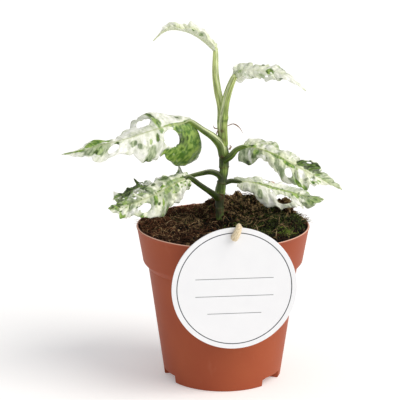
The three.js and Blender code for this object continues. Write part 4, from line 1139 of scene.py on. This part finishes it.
# %% [markdown]
# ## Holes in the blade
#
# Monstera leaves have holes between their side veins. A boolean would leave ragged triangles in so
# thin a sheet. Instead a block of cells of the grid is left out, and the grid round the block is drawn
# onto the hole's ellipse, less and less up to twice the block's size. The square block becomes a
# smooth round hole, and every cell round it stays whole.

# %% Grid of s and t with holes
ROWS, HALF_COLUMNS = 180, 36
share = np.linspace(0, 1, HALF_COLUMNS + 1)
half_columns = 0.55 * share + 0.45 * share ** 1.7
COLUMNS = np.concatenate([-half_columns[:0:-1], half_columns])


def holed_grid(leaf):
    """The grid's s and t, and which of its cells are open. Round a hole, a square ring of the grid is
    drawn to the ellipse of the same size: u becomes u times the root of 1 - v squared / 2."""
    s, t = np.meshgrid(np.linspace(0, 1, ROWS + 1), COLUMNS, indexing="ij")
    s_new, t_new = s.copy(), t.copy()
    is_open = np.zeros((ROWS, 2 * HALF_COLUMNS), bool)
    for side, place, off, length, breadth in leaf["holes"]:
        i0, i1 = round((place - length) * ROWS), round((place + length) * ROWS)
        j0, j1 = np.searchsorted(COLUMNS, [side * off - breadth, side * off + breadth])
        middle_s, half_s = (i0 + i1) / 2 / ROWS, (i1 - i0) / 2 / ROWS
        middle_t, half_t = (COLUMNS[j0] + COLUMNS[j1]) / 2, (COLUMNS[j1] - COLUMNS[j0]) / 2
        u, v = (s - middle_s) / half_s, (t - middle_t) / half_t
        ring = np.maximum(np.maximum(np.abs(u), np.abs(v)), 1e-6)
        u, v = u / ring, v / ring
        on_half = (t * side > 0) & (np.abs(t) < 0.999)
        pull = np.clip(2 - ring, 0, 1) * (ring > 0.999) * on_half
        s_new += pull * (place + length * u * np.sqrt(1 - v ** 2 / 2) - middle_s - half_s * u)
        t_new += pull * (side * off + breadth * v * np.sqrt(1 - u ** 2 / 2) - middle_t - half_t * v)
        is_open[i0:i1, j0:j1] = True
    return s_new, t_new, is_open


# %% [markdown]
# ## Marbling
#
# Marbling isn't painted by hand. Soft hills over the leaf's own flat form, in mm, make clouds of sage
# of 5.5 mm with wisps of 2.2 mm, freckles of 1.2 mm and dark flecks of 1.5 mm, and each leaf has its
# own amount of each. A dappled leaf has more freckles and flecks. Then a few named patches are laid
# over them, with ragged borders, where this plant has a green lobe, a dark streak along a vein or a
# clear cream field.

# %% Tones per point
def flat_form(leaf, s, t):
    """Places in mm on the leaf laid flat: along the rib, across it, and a number for the leaf."""
    length = np.linalg.norm(np.diff(leaf["rib"], axis=0), axis=-1).sum()
    return np.stack([length * s, t * of_half(leaf, t, s, "width"), 0 * s + 31 * leaf["seed"]], -1)


def tone_shares(leaf, s, t):
    """Shares of sage, green, dark and lime for each point. The first three are where hills pass a
    height, and lime is strongest near the rib. A patch is an ellipse in s and t with a ragged border:
    it raises its own tone and lowers the later ones, and a cream patch lowers them all."""
    flat = flat_form(leaf, s, t)
    drawn = flat * (1, 0.55, 1)
    clouds = soft_hills(drawn, 5.5, 5) + 0.6 * soft_hills(drawn, 2.2, 6)
    freckles = soft_hills(flat, 1.2, 7) + 0.5 * soft_hills(flat, 4, 8) + leaf["dappled"]
    flecks = soft_hills(drawn, 1.5, 9) + 0.6 * soft_hills(flat, 6, 10) + leaf["dappled"]
    lime = 0.45 + 0.5 * bell(flat[..., 1], 0, 4) + 0.5 * soft_hills(flat, 5, 11)
    shares = [leaf["marbled"] * ramp(clouds, 0.05, 0.7), leaf["flecked"] * ramp(freckles, 0.5, 0.8),
              leaf["flecked"] * ramp(flecks, 0.78, 1.0), leaf["lime"] * np.clip(lime, 0, 1)]
    ragged = 0.55 * soft_hills(flat, 3.2, 12) + 0.35 * soft_hills(flat, 1.4, 13)
    for kind, place, off, long, broad, strength in leaf["patches"]:
        away = ((s - place) / long) ** 2 + ((t - off) / broad) ** 2 + ragged
        here = strength * ramp(-away, -1.3, -0.7)
        if kind == CREAM:
            shares = [each * (1 - here) for each in shares]
        else:
            shares[kind] = np.maximum(shares[kind], here)
            shares[kind + 1:3] = [each * (1 - 0.7 * here) for each in shares[kind + 1:3]]
    return np.stack(shares, -1)


# %% [markdown]
# ## A leaf as a closed sheet
#
# The middle layer is pushed out along its own normal by the relief: the tissue bulges between the
# side veins, which sink in, and all of it is finely puckered. Then it gets a face on each side, 0.3 mm
# apart, which is what a young leaf measures. The midrib stands out below. Walls close the outer edge
# and the edge of every hole, so the sheet is one solid.

# %% Relief of the blade
SIDE_VEINS = 9
HALF_THICKNESS = 0.16


def grid_normals(points):
    """Unit normals on the upper side of a grid of points, from its two directions."""
    return unit(np.cross(np.gradient(points, axis=1), np.gradient(points, axis=0)))


def leaf_relief(leaf, s, t, points):
    """Height in mm over the smooth blade: bulges of up to 0.7 mm between the side veins, less where
    a leaf isn't fully bulged, veins sunk by 0.3 mm, and puckers of 4.5, 2.1 and 1.2 mm, all times the
    leaf's own pucker and fading out at the rib."""
    a = np.abs(t)
    between = (SIDE_VEINS * (s + 0.06 * np.sin(9 * s + np.sign(t))) + 0.25 * np.sign(t)) % 1
    bulge = 0.7 * leaf["bulged"] * np.sin(np.pi * between) ** 2 * 4 * a * (1 - 0.75 * a)
    bulge = bulge * (0.3 + 0.7 * ramp(s, 0, 0.35))
    vein = 0.3 * bell(np.minimum(between, 1 - between), 0, 0.1) * (1 - a ** 3)
    puckers = sum(height * soft_hills(points, size, seed)
                  for height, size, seed in ((0.5, 4.5, 14), (0.5, 2.1, 15), (0.25, 1.2, 16)))
    fading = (1 - bell(a, 0, 0.13)) * np.minimum(1, 2 * (1 - s) + 0.2)
    return leaf["pucker"] * (bulge - vein + puckers) * fading


# %% Leaf pieces
def sheet_faces(is_open):
    """Faces of a sheet whose upper and lower points follow each other in pairs: both sides of each
    closed cell, and a wall wherever a closed cell meets an open one or the outside."""
    columns = is_open.shape[1] + 1
    shut = np.pad(~is_open, 1)
    i, j = np.nonzero(~is_open)
    first = 2 * (i * columns + j)
    corners = [first, first + 2, first + 2 * columns + 2, first + 2 * columns]
    faces = [np.stack(corners, -1), np.stack(corners[::-1], -1) + 1]
    for side, (down, right) in enumerate(((-1, 0), (0, 1), (1, 0), (0, -1))):
        free = ~shut[i + 1 + down, j + 1 + right]
        a, b = corners[side][free], corners[(side + 1) % 4][free]
        faces.append(np.stack([a, a + 1, b + 1, b], -1))
    return np.concatenate(faces)


def make_leaf(name, leaf):
    """One leaf: the blade with its relief, a face on each side, walls, and its tones. The faces lie
    half the thickness from the middle, thinner at the edge and thicker at the rib, as bell shapes."""
    s, t, is_open = holed_grid(leaf)
    smooth = blade_middle(leaf, s, t)
    middle = smooth + grid_normals(smooth) * leaf_relief(leaf, s, t, smooth)[..., None]
    normals = grid_normals(middle)
    out = np.abs(t) * of_half(leaf, t, s, "width")
    half = HALF_THICKNESS * (1 - 0.5 * np.abs(t) ** 8)
    above = half + 0.2 * bell(out, 0, 0.45) * (1 - 0.7 * s)
    below = half + 0.95 * bell(out, 0, 0.8) * (1 - 0.75 * s)
    both = np.stack([middle + normals * above[..., None], middle - normals * below[..., None]], -2)
    quads = sheet_faces(is_open)
    used, faces = np.unique(quads, return_inverse=True)

    def twice(values):
        """Values of the grid for the upper and the lower point, where a face needs them."""
        return np.repeat(values.reshape(s.size, -1), 2, axis=0)[used]

    rust = sum((bell(s, a, c) * bell(t, b, d) for a, b, c, d in leaf["rust"]), 0 * s)
    rib = 0.75 * leaf["ribbed"] * bell(out, 0, 0.5) * (1 - 0.5 * s)
    shares = {"tones": twice(tone_shares(leaf, s, t)), "rib": twice(rib), "rust": twice(rust),
              "flat": twice(flat_form(leaf, s, t) * MM), "underside": (used % 2).astype(float)}
    make_piece("blade_" + name, both.reshape(-1, 3)[used], [faces.reshape(quads.shape)], "leaf",
               leaf_finish, ["leaf_" + name], shares=shares)


for name, leaf in LEAVES.items():
    make_leaf(name, leaf)

# %% [markdown]
# ## Dried strands, a flap and a knob
#
# Below the top leaves, old leaf sheath has dried into thin brown strands that curl away from the stem,
# and a short flap of it hangs there. Dry sheath is papery and matt. Each is a flat ribbon, two or
# three times as wide as it is thick, which twists as it goes. A small knob of the same stuff, made of
# a few dented lumps, sits at the stem's joint.

# %% Dry sheath finish
dry_finish, tree, surface = new_finish(
    "dry_leaf_sheath", {"Roughness": 0.85, "Specular IOR Level": 0.25})
colour = coats(tree, "5E4436", (grain(tree, 1.2, 4), "B0917A"))
cover(tree, surface, colour, grain(tree, 0.5), 0.15, 0.7)

# %% Ribbons and knob
# Each ribbon: its path, half width, half thickness and twist, and the CAD node it stands for
RIBBONS = {
    "dried_strand_right_curled": ([(2.4, 0.5, 177), (6.8, -0.6, 178.8), (10.8, -1.6, 176.7),
                                   (13.7, -2.4, 172.2)], 0.48, 0.24, 3.0, ["dried_strand_right"]),
    "dried_strand_left_curled": ([(-3, 1.5, 174.9), (-5.9, 0, 175.8), (-7, -1, 178)],
                                 0.48, 0.24, 3.0, ["dried_strand_left"]),
    "dried_flap": ([(-3.2, 0, 175), (-4.1, -0.8, 173.4), (-4.9, -1.2, 171.2)], 0.75, 0.3, 1.0, []),
}
RIBBON_STATIONS, RIBBON_SIDES = 60, 8
# The knob's lumps: their centres and sizes, in mm
KNOB = np.array([(4.4, -1.6, 161.6), (5, -1.8, 162.5), (5.5, -1.5, 163.1), (4.8, -1.1, 163.6)])
KNOB_SIZES = np.array([0.8, 0.75, 0.5, 0.55])


def ribbon_rings(path, wide, thin, twist):
    """Rings of a flat ribbon: an ellipse that turns by twist along the path and narrows to its tip."""
    s = np.linspace(0, 1, RIBBON_STATIONS)
    angle = turns(RIBBON_SIDES) + twist * s[:, None]
    radii = 1 / np.sqrt((np.cos(angle) / wide) ** 2 + (np.sin(angle) / thin) ** 2)
    radii = radii * (1 - 0.75 * s[:, None] ** 3)
    return carried_rings(along(path, s), radii, (0, -1, 0.2), RIBBON_SIDES)


for name, (*shape, nodes) in RIBBONS.items():
    make_tubes(name, ribbon_rings(*shape), "dried_sheath", dry_finish, nodes)
make_piece("dried_knob", *lumps(KNOB, KNOB_SIZES), "dried_sheath", dry_finish)

# %% [markdown]
# ## The tag's finish
#
# The tag is thick, uncoated white card, die-cut into a disc, with a thin slate-grey ring printed near
# its edge. The CAD source keeps its face bare, and so does this scene, apart from three plain ruled
# lines of the kind that a label has to be written on. Card is matt, near 0.8 in roughness, with a
# faint fibrous relief. A mapping node brings the card's centre to zero and turns its face square, so
# the ring is simply a band of distance, and a line is a band of height within a band across.

# %% Die-cut card
TAG_RADIUS, TAG_THICKNESS, TAG_BEARING, TAG_CENTRE_Z = 41.7, 1, 6.9, 80.2
HOLE_RADIUS, HOLE_UP = 2.6, 35.3
TAG_OUT = RIM_RADIUS + 0.3 + TAG_THICKNESS / 2
RING_RADIUS, RING_WIDTH = 38.2, 0.62
# Ruled lines: height over the centre and half length, in mm
RULED = [(7, 26), (-5, 26), (-17, 18)]
RULED_WIDTH, RULED_STRENGTH = 0.44, 0.8
INK = "343941"
tag_finish, tree, surface = new_finish(
    "uncoated_card", {"Roughness": 0.8, "IOR": 1.5, "Specular IOR Level": 0.3})


def band(value, middle, width, strength=1.0):
    """That strength where the value is within half the width of the middle, both in mm, and 0 beyond,
    with a soft edge a tenth of a millimetre wide."""
    off = add_node(tree, "Math", {"operation": "SUBTRACT", 0: value, 1: middle * MM})[0]
    away = add_node(tree, "Math", {"operation": "ABSOLUTE", 0: off})[0]
    return add_node(tree, "MapRange", {"Value": away, "From Min": (width / 2 + 0.05) * MM,
                                       "From Max": (width / 2 - 0.05) * MM, "To Max": strength})[0]


square = add_node(tree, "Mapping", {"Rotation": (0, 0, -math.radians(TAG_BEARING)),
                                    "Location": (0, TAG_OUT * MM, -TAG_CENTRE_Z * MM),
                                    "Vector": add_node(tree, "TexCoord", {})["Object"]})[0]
across, outward, up = add_node(tree, "SeparateXYZ", {0: square})
on_plane = add_node(tree, "CombineXYZ", {0: across, 2: up})[0]
distance = add_node(tree, "VectorMath", {"operation": "LENGTH", 0: on_plane})["Value"]
marks = [band(distance, RING_RADIUS, RING_WIDTH)]
for height, half_length in RULED:
    marks.append(band(across, 0, 2 * half_length, band(up, height, RULED_WIDTH, RULED_STRENGTH)))
card = coats(tree, "E9EAED", (grain(tree, 14, 2), "F0F1F3"))
inked = coats(tree, card, *((mark, INK) for mark in marks))
on_face = add_node(tree, "Math", {"operation": "LESS_THAN", 0: outward, 1: -0.3 * MM})[0]
cover(tree, surface, coats(tree, card, (on_face, inked)), grain(tree, 0.35, 4), 0.03, 0.4)

# %% [markdown]
# ## The tag
#
# The card is a disc with a hole off its centre. Rings of points run from the hole to the outer edge,
# and each ring is a mix of the two circles, so one grid covers the face without a cut. The same rings
# go round both edges, which are rounded by a tenth of a millimetre, and back over the rear face.

# %% Tag
TAG_SIDES, FACE_RINGS, EDGE_RINGS = 144, 12, 4
BEVEL = 0.12


def on_rim(right, behind, rise):
    """Points of the tag's own frame, which faces the viewer, brought to its place against the rim."""
    a = math.radians(TAG_BEARING)
    y = behind - TAG_OUT
    return np.stack([right * math.cos(a) - y * math.sin(a), right * math.sin(a) + y * math.cos(a),
                     rise + TAG_CENTRE_Z], -1)


half = TAG_THICKNESS / 2
edge = [half - BEVEL, half / 3, -half / 3, -half + BEVEL]
face = np.linspace(0, 1, FACE_RINGS)
share = np.concatenate([face, [1] * EDGE_RINGS, face[::-1], [0] * EDGE_RINGS])[:, None]
behind = np.concatenate([[-half] * FACE_RINGS, edge[::-1], [half] * FACE_RINGS, edge])[:, None]
inset = BEVEL * (np.abs(behind) > half - 0.01)
radius = share * (TAG_RADIUS - inset) + (1 - share) * (HOLE_RADIUS + inset)
right = radius * np.cos(turns(TAG_SIDES))
rise = radius * np.sin(turns(TAG_SIDES)) + (1 - share) * HOLE_UP
points = on_rim(right, behind + 0 * right, rise)
here = np.arange(right.size).reshape(right.shape)
after, beside = np.roll(here, -1, axis=0), np.roll(here, -1, axis=1)
quads = np.stack([here, after, np.roll(after, -1, axis=1), beside], -1)
tag = make_piece("card_tag", points.reshape(-1, 3), [quads.reshape(-1, 4)], "tag_card", tag_finish,
                 ["tag"])
tag.data.set_sharp_from_angle(angle=math.radians(40))

# %% [markdown]
# ## The cord's finish
#
# The cord is laid from unbleached plant fibre, in three strands. Such fibre is pale straw, dull, and
# bristly with loose ends, which catch light at the outline, so it gets a little sheen. Streaks run
# along each strand, so the pattern reads a place round and along the strand, as the stem's does.

# %% Unbleached fibre cord
cord_finish, tree, surface = new_finish(
    "unbleached_fibre", {"Roughness": 0.95, "Sheen Weight": 0.25, "Specular IOR Level": 0.2})
wrap = add_node(tree, "Attribute", {"attribute_name": "wrap"})["Vector"]
fibres = add_node(tree, "TexNoise", {"Scale": 3.2, "Detail": 3.0, "Vector": wrap})[0]
streaks = add_node(tree, "MapRange", {"Value": fibres, "From Min": 0.35, "From Max": 0.65})[0]
cover(tree, surface, coats(tree, "C2A87C", (streaks, "F6ECD2")), fibres, 0.3, 0.8)

# %% [markdown]
# ## The cord
#
# The cord's route repeats the CAD's: out of the soil, up behind the tag, over its top edge, down its
# face, in at the hole and back into the soil. It's held all along, so it isn't a free cord. Three
# strands wind round the route. Each is a ring carried along a helix, and its skin has fine ridges.
# Short loose ends of fibre stand off it all along, each a thin thread with a slight curve.

# %% Cord
# The route in the tag's own frame, in mm: to the right, behind it and up
CORD = [(10, 13, 14), (9, 10, 26), (6, 5.4, 36), (3.3, 3.2, 41), (2.7, 0.3, 42.3), (1.9, -2.9, 40.5),
        (0.6, -3.4, 38), (-0.3, -2.7, 35.4), (0, 0, 35.3), (-0.2, 3.2, 34.9), (-0.8, 8, 32), (-1.5, 12, 24),
        (-2, 14, 14)]
CORD_RADII = [2.1, 2.1, 2.1, 1.9, 1.8, 2.3, 2.6, 2.4, 2.1, 2.1, 2.1, 2.1, 2.1]
CORD_STATIONS, CORD_SIDES, LAY_TURNS = 300, 20, 7.5
TOWARD_RIGHT = np.array([1.0, 0.12, 0])

s = np.linspace(0, 1, CORD_STATIONS)[:, None]
centre = on_rim(*along(CORD, s[:, 0]).T)
girth = along(CORD_RADII, s)
onward = unit(np.gradient(centre, axis=0))
side_way = unit(TOWARD_RIGHT - (onward @ TOWARD_RIGHT)[:, None] * onward)
other_way = np.cross(onward, side_way)
strand = np.arange(3)[:, None, None]
turn = 2 * np.pi * (LAY_TURNS * s + strand / 3)
helix = centre + 0.47 * girth * (np.cos(turn) * side_way + np.sin(turn) * other_way)
skin_turn = turns(CORD_SIDES)
ridges = 0.035 * np.sin(9 * skin_turn + 26 / 7 * turn) + 0.03 * np.sin(5 * skin_turn - 3 * turn)
rings = carried_rings(helix, 0.53 * girth + ridges, TOWARD_RIGHT, CORD_SIDES)
length = np.concatenate([[0], np.cumsum(np.linalg.norm(np.diff(centre, axis=0), axis=1))])[:, None]
skin_turn = skin_turn + 4.2 * LAY_TURNS * s
wrap = np.broadcast_arrays(1.1 * np.cos(skin_turn), 1.1 * np.sin(skin_turn), 0.12 * length)
make_tubes("fibre_cord", rings, "cord", cord_finish, ["tag_cord"],
           {"wrap": np.stack(wrap, -1) + 9 * strand[..., None]})
print("cord length from soil to soil, mm:", round(float(length[-1, 0]), 1))

# %% Loose fibre ends on the cord
FUZZ = 260
at = rng.integers(40, CORD_STATIONS - 40, FUZZ)
turn = rng.uniform(0, 2 * np.pi, FUZZ)[:, None]
outward = np.cos(turn) * side_way[at] + np.sin(turn) * other_way[at]
start = centre[at] + 0.9 * girth[at] * outward
drift = onward[at] * rng.normal(0.9, 0.5, (FUZZ, 1)) + outward * rng.uniform(0.2, 0.7, (FUZZ, 1))
share = np.linspace(0, 1, 5)
curve = rng.normal(0, 0.35, (FUZZ, 1, 3)) * share[:, None] ** 2
reach = rng.uniform(0.5, 1.3, (FUZZ, 1, 1)) * share[:, None]
line = start[:, None] + drift[:, None] * reach + curve
rings = carried_rings(line, 0.06 * (1.2 - share), (0.3, 0.9, 0.4), 3)
make_tubes("cord_fuzz", rings, "cord", cord_finish, shares={"wrap": rings})

# %% [markdown]
# ## Straw stalks
#
# A few pale stalks of dry straw stand in the soil or lie over the rim. They're the same threads as
# the coir, only paler and thicker, and each stands where the photograph shows it.

# %% Straw
straw_finish, tree, surface = new_finish("dry_straw", {"Roughness": 0.8})
cover(tree, surface, coats(tree, "A8865C", (grain(tree, 2), "E2CDA4")))
# Each stalk: foot x and y, then how far its top leans in x and y and rises, then its thickness
STRAW = [(35.6, -29.6, 0.6, 0.4, 6.5, 0.3), (-16.6, 0.4, -0.2, 0.6, 5.2, 0.24), (29, 43, 5, -1, 2.0, 0.26),
         (24, -20, -2.5, 3, 5.0, 0.16), (-2, -26, 5, 3, 3.2, 0.15), (52, 8, 8.2, -1.5, 3.4, 0.16),
         (-52, 18, -7.5, 3.5, 4.4, 0.17), (-31, -22, 7, 2, 1.8, 0.17), (-40, -10, 5, 6, 2.2, 0.15)]
STRAW_DEPTH = 0.8

x, y, lean_x, lean_y, rise, thickness = np.array(STRAW).T[..., None]
share = np.linspace(0, 1, 12)
arch = np.sin(1.7 * share) / np.sin(1.7)
height = soil_top(x, y) - STRAW_DEPTH + (rise + STRAW_DEPTH) * arch
line = np.stack([x + lean_x * share ** 1.5, y + lean_y * share, height], -1)
rings = carried_rings(line, thickness * (1 - 0.45 * share), (0.2, -0.9, 0.3), 6)
make_tubes("straw_stalks", rings, "soil", straw_finish)

# %% [markdown]
# ## Fibres over the rim
#
# Coir sticks to a pot's lip where the soil was filled in and brushed off. Here it lies across the rim
# at the right and a little at the left, in short low arches, with the soil's own finish.

# %% Fibres over the rim
RIM_FIBRES = 60
RIM_TOP = 107.4
bearing = rng.uniform(0.02, 0.5, RIM_FIBRES)
at_left = rng.random(RIM_FIBRES) < 0.3
bearing[at_left] = rng.uniform(2.7, 3.25, at_left.sum())
bearing = bearing[:, None]
way = bearing + rng.normal(0, 0.7, (RIM_FIBRES, 1))
share = np.linspace(0, 1, 7)
reach = rng.uniform(3, 8, (RIM_FIBRES, 1)) * share
start = rng.uniform(53, 57, (RIM_FIBRES, 1))
height = RIM_TOP + rng.uniform(1, 2.4, (RIM_FIBRES, 1)) * np.sin(2.2 * share)
x, y = np.add(round_pot(bearing, start), round_pot(way, reach))
line = np.stack([x, y, height], -1)
radii = rng.uniform(0.1, 0.2, (RIM_FIBRES, 1)) * (1.1 - 0.6 * share)
shares = {"tint": np.clip(rng.normal(0.8, 0.25, RIM_FIBRES), 0, 1),
          "light": rng.uniform(0, 0.5, RIM_FIBRES)}
make_tubes("rim_fibres", carried_rings(line, radii, (0, 0, 1), 3), "soil", soil_finish, shares=shares)

# %% [markdown]
# ## Floor and light
#
# The photograph is lit softly and evenly, with a stronger light from the right, so the pot's left side
# is its darker one. A pale floor and a bright even surround give the evenness. The stronger light is
# one sun lamp with a very wide disc, high on the right and in front: it works like a large softbox and
# lights the floor evenly to the horizon. The floor and lamp aren't part of the object.

# %% Floor
FLOOR_REACH, FLOOR_DROP = 20.0, 0.0002
floor_finish, tree, surface = new_finish(
    "matt_paper_floor", {"Roughness": 0.9, "Specular IOR Level": 0.1, "Emission Strength": 0.22})
cover(tree, surface, coats(tree, "F6F6F6", (grain(tree, 900), "F8F8F8")))
square = ((-1, -1), (1, -1), (1, 1), (-1, 1))
corners = [(a * FLOOR_REACH, b * FLOOR_REACH, -FLOOR_DROP) for a, b in square]
floor_mesh = bpy.data.meshes.new("floor")
floor_mesh.from_pydata(corners, [], [(0, 1, 2, 3)])
floor_mesh.materials.append(floor_finish)
floor = bpy.data.objects.new("floor", floor_mesh)
scene.collection.objects.link(floor)
floor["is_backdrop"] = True

# %% Lamps and surround
scene.view_settings.view_transform = "Standard"
world = bpy.data.worlds.new("surround")
world.use_nodes = True
surround = world.node_tree.nodes["Background"].inputs
surround["Color"].default_value, surround["Strength"].default_value = paint("FBFCFF"), 0.52
scene.world = world

TOWARD_LAMP = (0.71, -0.32, 0.63)
lamp = bpy.data.lights.new("softbox", "SUN")
lamp.energy, lamp.angle, lamp.color = 2.35, math.radians(50), paint("FFFAF2")[:3]
holder = bpy.data.objects.new("softbox", lamp)
holder.rotation_euler = (math.atan2(math.hypot(*TOWARD_LAMP[:2]), TOWARD_LAMP[2]), 0,
                         math.atan2(TOWARD_LAMP[0], -TOWARD_LAMP[1]))
scene.collection.objects.link(holder)

# %% [markdown]
# ## Measure and finish
#
# The dressed object must keep the CAD model's size. The sides of both boxes are printed.

# %% Sizes and finish
look_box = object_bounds()
for axis in range(3):
    cad_side, look_side = cad_box[1][axis] - cad_box[0][axis], look_box[1][axis] - look_box[0][axis]
    print("side", "xyz"[axis], "CAD", round(cad_side * 1000, 1), "look", round(look_side * 1000, 1), "mm")
